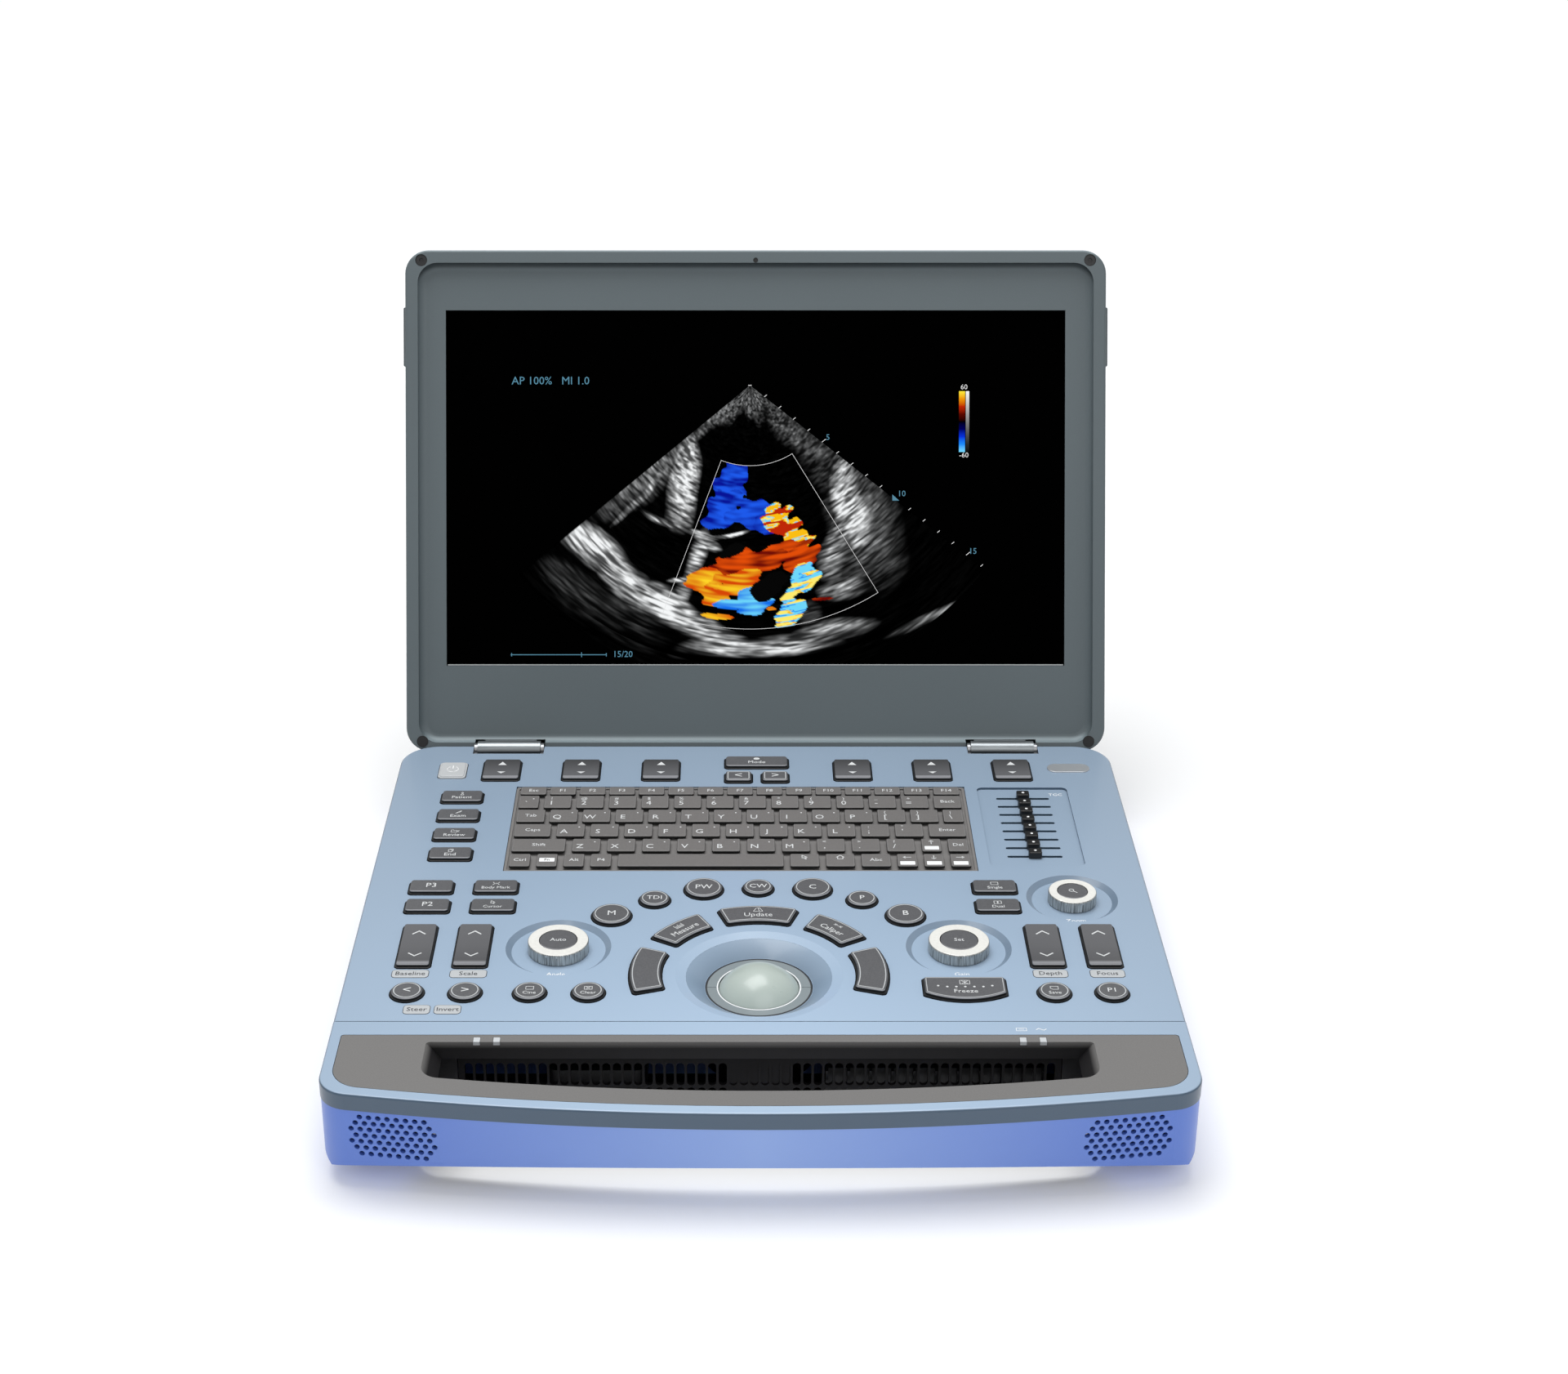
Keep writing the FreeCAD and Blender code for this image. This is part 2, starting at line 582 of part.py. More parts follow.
def keyboard_tray():
    """Tray that carries the keyboard: a rim a little below the panel and a floor under the keys."""
    x = sum(TRAY_X) / 2
    y = sum(TRAY_Y) / 2
    width = TRAY_X[1] - TRAY_X[0] - 0.4
    depth = TRAY_Y[1] - TRAY_Y[0] - 0.4
    tray = slab(x, y, width, depth, 1.5, TOP_Z - 6.0, TOP_Z - 0.4)
    return tray.cut(slab(x, y, width - 2 * TRAY_RIM, depth - 2 * TRAY_RIM, 1.2, TRAY_FLOOR_Z, TOP_Z + 1))


def keyboard_keys():
    """Six rows of flat typing keys."""
    keys = []
    x0, x1 = KEYBOARD_X
    for y, depth, widths in KEYBOARD_ROWS:
        gap = (x1 - x0 - sum(widths)) / (len(widths) - 1)
        left = x0
        for width in widths:
            x = left + width / 2
            keys.append(slab(x, y, width, depth, 1.0, TOP_Z + 0.2, KEYBOARD_TOP, 0.5))
            left += width + gap
    return group(keys)


def knob(name):
    """Knob ring with finger grooves and a bore for its shaft."""
    x, y, radius, well_radius, button = KNOBS[name]
    z0 = TOP_Z - WELL_DEPTH + 0.4
    z1 = TOP_Z + KNOB_HEIGHT_ABOVE
    ring = disc(x, y, radius, z0, z1)
    ring = ring.makeFillet(0.7, level_edges(ring, z1))
    tools = [disc(x, y, button + 0.25, z0 + 2.0, z1 + 1), disc(x, y, SHAFT_RADIUS + 0.05, 0, z1 + 1)]
    for i in range(18):
        angle = math.radians(20 * i + 10)
        reach = radius + 0.25
        tools.append(disc(x + reach * math.cos(angle), y + reach * math.sin(angle), 0.5, 0, z1 - 1.6))
    return cut(ring, tools)


SHAFT_RADIUS = 4.0


def knob_button(name):
    """Push button in the middle of a knob, on a thin stem inside the shaft."""
    x, y, radius, well_radius, button = KNOBS[name]
    z1 = TOP_Z + KNOB_HEIGHT_ABOVE + 0.1
    cap = disc(x, y, button, z1 - 2.2, z1)
    cap = cap.makeFillet(0.5, level_edges(cap, z1))
    return fuse([cap, disc(x, y, 2.0, TOP_Z - 8.2, z1 - 2)])


def encoders():
    """Hollow shafts and bodies that carry the knobs."""
    pieces = []
    for x, y, radius, well_radius, button in KNOBS.values():
        shaft = disc(x, y, SHAFT_RADIUS, TOP_Z - 8.0, TOP_Z - WELL_DEPTH + 2.0)
        body = slab(x, y, 15.0, 15.0, 1.0, TOP_Z - 11.4, TOP_Z - 6.0)
        pieces.append(fuse([shaft, body]).cut(disc(x, y, 2.3, TOP_Z - 9.6, TOP_Z + 5)))
    return group(pieces)


def ball():
    """Trackball."""
    return Part.makeSphere(BALL_RADIUS, V(0, BALL_Y, BALL_Z))


def trackball_ring():
    """Split retaining ring round the ball."""
    z0 = RING_Z - RING_THICKNESS
    ring = disc(0, BALL_Y, RING_RADIUS, z0, RING_Z)
    ring = ring.makeFillet(0.4, level_edges(ring, RING_Z))
    gap = box(-40, 40, BALL_Y - 0.15, BALL_Y + 0.15, 0, 100)
    tools = [Part.makeSphere(BALL_RADIUS + BALL_GAP, V(0, BALL_Y, BALL_Z)), gap]
    return cut(ring, tools)


def trackball_housing():
    """Cup that holds the ball under the panel."""
    top = RING_Z - DISH_WALL - 0.3
    cup = disc(0, BALL_Y, 27.0, UNDERSIDE_Z + WALL + 0.3, top)
    return cut(cup, [Part.makeSphere(BALL_RADIUS + BALL_GAP, V(0, BALL_Y, BALL_Z)),
                     disc(0, BALL_Y, RING_RADIUS - 2.5, BALL_Z, 100)])


def slider(y):
    """Gain-curve slider: a cap on a stem through its slot."""
    cap = slab(SLIDER_X, y, 6.6, 5.2, 0.8, TOP_Z - SLIDER_TRAY_DEPTH + 0.4, TOP_Z + 2.6, 0.5)
    stem = box(SLIDER_X - 1.0, SLIDER_X + 1.0, y - 0.6, y + 0.6, TOP_Z - 6.6, TOP_Z)
    return fuse([cap, stem])


def slider_board():
    """Board of slide resistors under the slider slots."""
    pieces = []
    for y in slider_rows():
        track = box(SLIDER_X - 19, SLIDER_X + 19, y - 3.4, y + 3.4, TOP_Z - 9.0, TOP_Z - 4.0)
        pieces.append(track.cut(box(SLIDER_X - 15, SLIDER_X + 15, y - 1.0, y + 1.0, TOP_Z - 7.5, TOP_Z)))
    x0, x1 = SLIDER_TRAY_X
    y0, y1 = SLIDER_TRAY_Y
    return fuse([box(x0 + 1, x1 - 1, y0 + 2, y1 - 2, TOP_Z - 10.4, TOP_Z - 8.6)] + pieces)


def panel_board():
    """Circuit board under the keys, open round the trackball and the keyboard."""
    board = box(-181, 181, -270, -12, TOP_Z - 13.2, TOP_Z - 11.6)
    tools = [disc(0, BALL_Y, 28.5, 0, 100), box(-160, 175, TRAY_Y[0] + 2, TRAY_Y[1] - 2, 0, 100)]
    tools += [box(side * 136.5 - 22, side * 136.5 + 22, -16, 0, 0, 100) for side in (-1, 1)]
    tools.append(box(-200, -168, PROBE_PORT_Y - 37, PROBE_PORT_Y + 37, 0, 100))
    return cut(board, tools)


def main_board():
    """Processor board with its large chips and connectors."""
    z = 11.0
    pieces = [box(-52, 178, -228, -34, z, z + 1.6)]
    chips = [(20, -90, 35, 35, 3.5), (80, -90, 28, 28, 3.0), (140, -80, 24, 40, 5.0),
             (90, -160, 30, 22, 2.5), (150, -150, 18, 60, 7.0)]
    for x, y, w, d, h in chips:
        pieces.append(box(x - w / 2, x + w / 2, y - d / 2, y + d / 2, z + 1.5, z + 1.6 + h))
    board = fuse(pieces)
    return cut(board, [disc(x, y, 7.6, 0, 40) for x, y in cart_points()] + [disc(0, BALL_Y, 30.0, 0, 60)])


def front_end_board():
    """Transmit and receive board above the processor board, under a screening can."""
    can = box(-165, -60, -180, -52, 30.0, 35.0)
    return fuse([can, box(-170, -55, -186, -46, 28.4, 30.2)])


def battery_pack():
    """Removable battery block low in the left of the base."""
    return slab(-112.0, -66.0, 108.0, 76.0, 4.0, 7.5, 26.0, 1.5)


def power_module():
    """Power supply block."""
    return slab(-120.0, -210.0, 80.0, 70.0, 2.0, 7.5, 26.0, 1.0)


def cooling_fans():
    """Two blowers that push air out through the grille."""
    fans = []
    for x in (-75.0, 75.0):
        case = slab(x, -262.0, 46.0, 34.0, 5.0, 8.0, 24.0)
        case = case.cut(disc(x, -260.0, 13.0, 20.0, 30.0))
        fans.append(case.fuse(disc(x, -260.0, 7.0, 19.0, 23.0)))
    return group(fans)


def heat_sink():
    """Finned block in the air path."""
    base = box(30, 130, -286, -281, 9.0, 30.0)
    fin_places = (30, 40, 50, 60, 70, 80, 90, 100, 110, 120, 128.8)
    fins = [box(x, x + 1.2, -288.5, -280, 9.0, 30.0) for x in fin_places]
    return fuse([base] + fins)


def probe_connector():
    """Locking socket for the ultrasound probe, in the left side."""
    y, z = PROBE_PORT_Y, PROBE_PORT_Z
    width, height = PROBE_PORT
    x_out = -BASE_WIDTH / 2 + 0.3
    half = width / 2 - 0.3
    rise = height / 2 - 0.3
    body = box(x_out, x_out + 24, y - half, y + half, z - rise, z + rise)
    flange = box(x_out + WALL + 0.2, x_out + WALL + 3, y - width / 2 - 4, y + width / 2 + 4, z - 6, z + 6)
    hollow = box(x_out - 1, x_out + 12, y - 27, y + 14, z - 8, z + 8)
    contact = box(x_out + 6, x_out + 13, y - 23, y + 10, z - 2, z + 2)
    lock = rod(V(1, 0, 0), V(x_out - 1, y + 22.5, z), 1.9, 11)
    return fuse([cut(fuse([body, flange]), [hollow, lock]), contact])


def rear_io_panel():
    """Rear plate with the power inlet and the signal sockets."""
    x0, x1 = REAR_PANEL_X
    z0, z1 = REAR_PANEL_Z
    plate = box(x0 + 0.3, x1 - 0.3, -WALL - 0.3, -0.8, z0 + 0.3, z1 - 0.3)
    pieces = [plate]
    for x, w, h in REAR_PORTS:
        side = w / 2 + 1.5
        rise = h / 2 + 1.5
        pieces.append(box(x - side, x + side, -16, -1.0, REAR_PORT_Z - rise, REAR_PORT_Z + rise))
    dc_x, dc_z, dc_r, dc_l = DC_INLET
    pieces.append(rod(V(0, 1, 0), V(dc_x, -0.8 - dc_l - 2, dc_z), dc_r + 2.5, dc_l + 2))
    tools = [rod(V(0, 1, 0), V(dc_x, -0.8 - dc_l, dc_z), dc_r, dc_l + 2)]
    for x, w, h in REAR_PORTS:
        tools.append(box(x - w / 2, x + w / 2, -13, 1, REAR_PORT_Z - h / 2, REAR_PORT_Z + h / 2))
    return cut(fuse(pieces), tools)


def rubber_feet():
    """Four round feet."""
    feet = []
    for x, y in FEET:
        foot = disc(x, y, FOOT_RADIUS, 0.0, UNDERSIDE_Z + 0.3)
        feet.append(foot.makeFillet(1.0, level_edges(foot, 0.0)))
    return group(feet)


def base_screws():
    """Case screws in the underside, heads in counterbores below the floor."""
    screws = []
    for x, y in CASE_SCREWS:
        head = disc(x, y, 3.0, UNDERSIDE_Z + 0.3 + WALL, UNDERSIDE_Z + 2.2 + WALL)
        screws.append(head.fuse(disc(x, y, 1.6, UNDERSIDE_Z + 0.6, UNDERSIDE_Z + WALL + 1)))
    return group(screws)


def hinge_brackets():
    """Fixed half of each hinge: two ears and a pin on a bracket inside the rear of the base."""
    pieces = []
    for side in (-1, 1):
        x0, x1 = sorted((side * (NOTCH_X[0] + 0.3), side * (NOTCH_X[1] - 0.3)))
        parts = [rod(V(1, 0, 0), V(x0, HINGE_Y, HINGE_Z), HINGE_PIN_RADIUS, x1 - x0)]
        for x in (x0, x1 - EAR_WIDTH):
            parts.append(rod(V(1, 0, 0), V(x, HINGE_Y, HINGE_Z), EAR_RADIUS, EAR_WIDTH))
            parts.append(box(x, x + EAR_WIDTH, -8.2, HINGE_Y + 2.0, TOP_Z - 7.9, HINGE_Z))
            parts.append(box(x, x + EAR_WIDTH, -8.2, -3.3, TOP_Z - 12.0, TOP_Z - 7.0))
        parts.append(box(x0, x1, -8.2, -3.3, TOP_Z - 12.0, TOP_Z - 8.8))
        parts.append(box(x0, x1, -15.5, -3.3, TOP_Z - 13.4, TOP_Z - 11.4))
        pieces.append(fuse(parts))
    return group(pieces)


def badge_plate():
    """Blank badge."""
    return slab(170.2, -27.8, 23.0, 9.6, 4.7, TOP_Z, TOP_Z + 0.6, 0.3)


def lid_slab(inset, n0, n1, corner):
    """Block with the lid's outline, upright in the lid's own frame."""
    z0 = -LID_BELOW_AXIS + inset
    block = box(-LID_WIDTH / 2 + inset, LID_WIDTH / 2 - inset, n0, n1, z0, z0 + LID_HEIGHT - 2 * inset)
    return block.makeFillet(corner, edges_along_y(block))


def edges_along_y(shape):
    """Straight edges that run along Y."""
    return [e for e in shape.Edges if e.BoundBox.XLength < 1e-5 and e.BoundBox.ZLength < 1e-5]


def edges_at_y(shape, y):
    """Edges that lie wholly in one plane across Y."""
    return [e for e in shape.Edges if abs(e.BoundBox.YMin - y) < 1e-5 and abs(e.BoundBox.YMax - y) < 1e-5]


def screen_block(grow, n0, n1):
    """Block over the screen opening."""
    z0 = SCREEN_ABOVE_BOTTOM - LID_BELOW_AXIS
    half = SCREEN_WIDTH / 2 + grow
    return box(-half, half, n0, n1, z0 - grow, z0 + SCREEN_HEIGHT + grow)


def bezel_recess():
    """Cutting body for the recessed face, with a hollow curve where it meets the rim."""
    half = LID_WIDTH / 2 - RIM_WIDTH
    z0 = -LID_BELOW_AXIS + RIM_WIDTH_BOTTOM
    z1 = -LID_BELOW_AXIS + LID_HEIGHT - RIM_WIDTH
    back = RIM_OFFSET + BEZEL_RECESS
    block = box(-half, half, RIM_OFFSET - 3, back, z0, z1)
    block = block.makeFillet(11.0, edges_along_y(block))
    return block.makeFillet(RECESS_FILLET, edges_at_y(block, back))


def hinge_notches(n1):
    """Openings in the lid's lower edge round the barrels."""
    tools = []
    for side in (-1, 1):
        x0, x1 = sorted((side * NOTCH_X[0], side * NOTCH_X[1]))
        tools.append(box(x0, x1, -10, n1, -10, 5.4))
    return tools


def trackball_dish():
    """Bowl round the trackball, let in from below the panel."""
    under_cover = TOP_Z - COVER_THICKNESS - 0.05
    flange = disc(0, BALL_Y, DISH_FLANGE_RADIUS, TOP_Z - DISH_WALL, under_cover)
    wall = disc(0, BALL_Y, DISH_HOLE_RADIUS - 0.05, TOP_Z - DISH_WALL, TOP_Z)
    bowl = dish_tool(DISH_WALL, TOP_Z - DISH_WALL).common(disc(0, BALL_Y, DISH_FLANGE_RADIUS, 0, TOP_Z))
    tools = [dish_tool(0.0, TOP_Z + 2), disc(0, BALL_Y, RING_RADIUS - 2.0, 0, TOP_Z)]
    tools.append(disc(0, BALL_Y, RING_RADIUS + 0.2, RING_Z - RING_THICKNESS - 0.1, TOP_Z))
    return cut(fuse([flange, wall, bowl]), tools)


def latch_z():
    """Middle of the side buttons above the hinge axis."""
    return LID_HEIGHT - LID_BELOW_AXIS - LATCH_BELOW_TOP - LATCH_LENGTH / 2


def latch_slots(grow):
    """Openings in the lid's sides for the buttons."""
    length = LATCH_LENGTH / 2 + grow
    return [box(side * 193 - 4, side * 193 + 4, 6.0 - grow, 10.5 + grow, latch_z() - length, latch_z() + length)
            for side in (-1, 1)]


def lid_screw_points():
    """Corner screws and lower corner pads."""
    x = LID_WIDTH / 2 - 9.0
    return x, LID_HEIGHT - LID_BELOW_AXIS - 5.6, -LID_BELOW_AXIS + 5.4


def lid_bezel():
    """Front frame of the lid, with its recessed face and screen opening."""
    back = RIM_OFFSET + BEZEL_DEPTH
    skin = RIM_OFFSET + BEZEL_RECESS + BEZEL_SKIN
    outer = lid_slab(0.0, RIM_OFFSET, back, LID_CORNER_RADIUS)
    outer = outer.makeFillet(1.4, edges_at_y(outer, RIM_OFFSET))
    tools = [bezel_recess(), screen_block(0.0, 0, 40), lid_slab(3.0, skin, back + 1, LID_CORNER_RADIUS - 3.0)]
    x, z_top, z_bottom = lid_screw_points()
    for side in (-1, 1):
        tools.append(rod(V(0, 1, 0), V(side * x, 0, z_top), 3.3, RIM_OFFSET + 1.6))
        tools.append(rod(V(0, 1, 0), V(side * x, 0, z_bottom), 3.2, RIM_OFFSET + 1.0))
    tools.append(rod(V(0, 1, 0), V(0, 0, z_top), 1.4, RIM_OFFSET + 0.8))
    return cut(outer, tools + hinge_notches(40) + latch_slots(0.3))


def lid_back_cover():
    """Rear shell of the lid, with rounded edges."""
    front = RIM_OFFSET + BEZEL_DEPTH + PARTING_GAP
    back = RIM_OFFSET + LID_THICKNESS
    outer = lid_slab(0.0, front, back, LID_CORNER_RADIUS)
    outer = outer.makeFillet(7.0, edges_at_y(outer, back))
    inner = lid_slab(2.2, front - 1, back - 2.2, LID_CORNER_RADIUS - 2.2)
    inner = inner.makeFillet(5.5, edges_at_y(inner, back - 2.2))
    return cut(outer, [inner])


def lcd_panel():
    """Display module behind the bezel."""
    n0 = RIM_OFFSET + BEZEL_RECESS + BEZEL_SKIN + 0.1
    return screen_block(4.0, n0, n0 + 5.5)


def screen_glass():
    """Clear pane in the screen opening."""
    n1 = RIM_OFFSET + BEZEL_RECESS + BEZEL_SKIN
    return screen_block(-0.15, n1 - 1.3, n1)


def lid_screws():
    """Countersunk screws in the upper corners of the rim."""
    x, z_top, z_bottom = lid_screw_points()
    screws = []
    for side in (-1, 1):
        head = rod(V(0, 1, 0), V(side * x, RIM_OFFSET + 0.6, z_top), 3.1, 1.0)
        socket = rod(V(0, 1, 0), V(side * x, RIM_OFFSET, z_top), 1.3, 1.2)
        screws.append(head.cut(socket))
    return group(screws)


def lid_pads():
    """Rubber pads in the lower corners of the rim and the small light sensor window."""
    x, z_top, z_bottom = lid_screw_points()
    pads = [rod(V(0, 1, 0), V(side * x, RIM_OFFSET - 0.3, z_bottom), 3.1, 1.3) for side in (-1, 1)]
    pads.append(rod(V(0, 1, 0), V(0, RIM_OFFSET + 0.2, z_top), 1.3, 0.6))
    return group(pads)


def lid_hinges():
    """Moving half of each hinge: a barrel and an arm that runs up inside the lid."""
    pieces = []
    skin = RIM_OFFSET + BEZEL_RECESS + BEZEL_SKIN
    for side in (-1, 1):
        x0, x1 = sorted((side * BARREL_X[0], side * BARREL_X[1]))
        barrel = rod(V(1, 0, 0), V(x0, 0, 0), BARREL_RADIUS, x1 - x0)
        web = box(x0 + 3, x1 - 3, 1.0, skin + 2.5, -1.8, 3.0)
        arm = box(x0 + 3, x1 - 3, skin + 0.2, skin + 2.6, -0.5, 38.0)
        bore = rod(V(1, 0, 0), V(x0 - 1, 0, 0), HINGE_PIN_RADIUS + PIN_FIT, x1 - x0 + 2)
        pieces.append(fuse([barrel, web, arm]).cut(bore))
    return group(pieces)


def latch(side):
    """Side button of the lid, with an inner flange that keeps it in."""
    z0 = latch_z() - LATCH_LENGTH / 2
    z1 = latch_z() + LATCH_LENGTH / 2
    x_out = LID_WIDTH / 2 + LATCH_PROUD
    x_wall = LID_WIDTH / 2 - 3.0
    button = box(x_wall - 1.0, x_out, 6.0, 10.5, z0, z1)
    button = button.makeFillet(1.0, [e for e in button.Edges if abs(e.BoundBox.XMin - x_out) < 1e-5])
    flange = box(x_wall - 2.2, x_wall - 0.4, skin_n() + 0.2, skin_n() + 2.4, z0 - 3, z1 + 3)
    body = fuse([button, flange])
    if side < 0:
        body = body.mirror(V(0, 0, 0), V(1, 0, 0))
    return body


def skin_n():
    """Back of the bezel's recessed skin."""
    return RIM_OFFSET + BEZEL_RECESS + BEZEL_SKIN


def lean(shape):
    """Stand a lid piece at its open angle on the hinge axis."""
    shape = shape.copy()
    shape.rotate(V(0, 0, 0), V(1, 0, 0), -LID_TILT_DEG)
    shape.translate(V(0, HINGE_Y, HINGE_Z))
    return shape


def place(shape):
    """Move a piece from the rear-edge frame to the origin."""
    shape = shape.copy()
    shape.translate(V(0, REAR_EDGE_Y, 0))
    return shape


def all_nodes():
    """Every node's shape by name, in the scanner's own frame."""
    nodes = {
        "bottom_shell": bottom_shell(),
        "top_cover": top_cover(),
        "handle_frame": handle_frame(),
        "handle_trim": handle_trim(),
        "vent_grille": vent_grille(),
        "speakers": speakers(),
        "keyboard_tray": keyboard_tray(),
        "panel_board": group([panel_board(), slider_board()]),
        "main_board": main_board(),
        "front_end_board": front_end_board(),
        "battery_pack": battery_pack(),
        "power_module": power_module(),
        "cooling_fans": cooling_fans(),
        "heat_sink": heat_sink(),
        "trackball_ring": trackball_ring(),
        "trackball_dish": trackball_dish(),
        "trackball_housing": trackball_housing(),
        "probe_connector": probe_connector(),
        "rear_io_panel": rear_io_panel(),
        "rubber_feet": rubber_feet(),
        "base_screws": base_screws(),
        "hinge_brackets": hinge_brackets(),
        "encoders": encoders(),
        "indicator_windows": indicator_windows(),
        "badge_plate": badge_plate(),
        "trackball": ball(),
        "keyboard_keys": keyboard_keys(),
        "mode_keys": group([round_key(x, y, r) for x, y, r in MODE_KEYS]),
        "freeze_key": fuse([freeze_block(SKIRT, KEY_BOTTOM, SKIRT_TOP),
                            freeze_block(0.0, SKIRT_TOP - 1, KEY_TOP, 0.6)]),
        "power_key": flat_key(*POWER_KEY, top_z=TOP_Z + 1.2),
    }
    sectors = []
    for centre, half in SECTOR_KEYS:
        skirt = sector(centre, half, SKIRT, KEY_BOTTOM, SKIRT_TOP, 2.0)
        sectors.append(fuse([skirt, sector(centre, half, 0.0, SKIRT_TOP - 1, KEY_TOP, 1.6, 0.6)]))
    nodes["sector_keys"] = group(sectors)
    small = [round_key(x, ROUND_KEY_Y, ROUND_KEY_RADIUS) for x in ROUND_KEYS_X]
    small += [flat_key(x, y, *FLAT_KEY_SIZE) for x, y in FLAT_KEYS]
    small += [flat_key(*key) for key in [MODE_BAR] + ARROW_KEYS]
    nodes["function_keys"] = group(small)
    for name, x in TALL_ROCKERS.items():
        nodes[name] = rocker(x, TALL_ROCKER_Y, TALL_ROCKER_SIZE, 0.5)
    nodes["soft_rockers"] = group([rocker(x, SOFT_ROCKER_Y, SOFT_ROCKER_SIZE, 0.5) for x in SOFT_ROCKERS_X])
    for name in KNOBS:
        nodes[name + "_knob"] = knob(name)
        nodes[name + "_button"] = knob_button(name)
    for i, y in enumerate(slider_rows()):
        nodes["gain_slider_%d" % (i + 1)] = slider(y)
    lid = {
        "lid_bezel": lid_bezel(),
        "lid_back_cover": lid_back_cover(),
        "lcd_panel": lcd_panel(),
        "screen_glass": screen_glass(),
        "lid_screws": lid_screws(),
        "lid_pads": lid_pads(),
        "lid_hinges": lid_hinges(),
        "latch_left": latch(-1),
        "latch_right": latch(1),
    }
    for name, shape in lid.items():
        nodes[name] = lean(shape)
    return {name: place(shape) for name, shape in nodes.items()}


def main():
    """Write one STEP file per node and print the overall box."""
    os.makedirs("parts", exist_ok=True)
    nodes = all_nodes()
    for name, shape in nodes.items():
        shape.exportStep("parts/" + name + ".step")
        if not shape.isValid():
            print("not valid:", name)
    whole = Part.makeCompound(list(nodes.values())).BoundBox
    print("nodes", len(nodes))
    print("box", [round(v, 2) for v in (whole.XMin, whole.YMin, whole.ZMin, whole.XMax, whole.YMax, whole.ZMax)])


main()
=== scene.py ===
"""Looks of the portable ultrasound scanner: finishes, legends, display picture, lights and camera."""
import json
import math

import bpy
import numpy as np
from mathutils import Matrix, Vector
from mathutils.bvhtree import BVHTree


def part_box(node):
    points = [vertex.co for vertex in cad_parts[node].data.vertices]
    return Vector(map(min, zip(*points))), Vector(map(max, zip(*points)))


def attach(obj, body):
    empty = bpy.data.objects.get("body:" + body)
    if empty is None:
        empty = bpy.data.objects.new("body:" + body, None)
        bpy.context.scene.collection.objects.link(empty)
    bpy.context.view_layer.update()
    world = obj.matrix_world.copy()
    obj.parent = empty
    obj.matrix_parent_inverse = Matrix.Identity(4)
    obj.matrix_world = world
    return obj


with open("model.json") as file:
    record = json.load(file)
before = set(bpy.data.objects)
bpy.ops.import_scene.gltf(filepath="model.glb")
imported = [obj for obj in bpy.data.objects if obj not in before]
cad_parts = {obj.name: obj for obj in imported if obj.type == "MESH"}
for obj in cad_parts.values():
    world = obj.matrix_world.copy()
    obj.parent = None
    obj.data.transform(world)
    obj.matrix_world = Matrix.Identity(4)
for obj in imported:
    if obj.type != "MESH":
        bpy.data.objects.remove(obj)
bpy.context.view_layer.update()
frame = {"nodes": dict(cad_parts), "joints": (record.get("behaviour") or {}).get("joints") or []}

MM = 0.001
JOINTS = {joint["name"]: joint for joint in frame["joints"]}
NODES = frame["nodes"]

# Places read from the frame
PANEL_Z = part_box("badge_plate")[0].z
REAR_EDGE_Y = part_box("top_cover")[1].y
GRIP_FRONT_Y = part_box("handle_trim")[0].y + 0.0080
LID_AXIS = Vector(JOINTS["lid_hinge"]["pos_m"])
LID_TILT = math.radians(JOINTS["lid_hinge"]["range_deg"][1] - 90.0)
LID_UP = Vector((0, math.sin(LID_TILT), math.cos(LID_TILT)))
LID_BACK = Vector((0, math.cos(LID_TILT), -math.sin(LID_TILT)))
# Keys are painted near black below this height: painted shade low in the gaps round them.
KEY_SKIRT_Z = PANEL_Z + 0.0007

# Heights above the panel or the keys of what is printed on raised plates, in millimetres
PLATE_LIFT, WORD_LIFT, DARK_LIFT = 0.08, 0.14, 0.08


# ---- colours and materials

def linear(red, green, blue):
    """Scene-linear colour of a display colour given in 0-255 steps."""
    def one(value):
        value = value / 255.0
        return value / 12.92 if value <= 0.04045 else ((value + 0.055) / 1.055) ** 2.4
    return (one(red), one(green), one(blue), 1.0)


def shade(colour, factor):
    """A colour made lighter or darker."""
    return tuple(min(1.0, c * factor) for c in colour[:3]) + (1.0,)


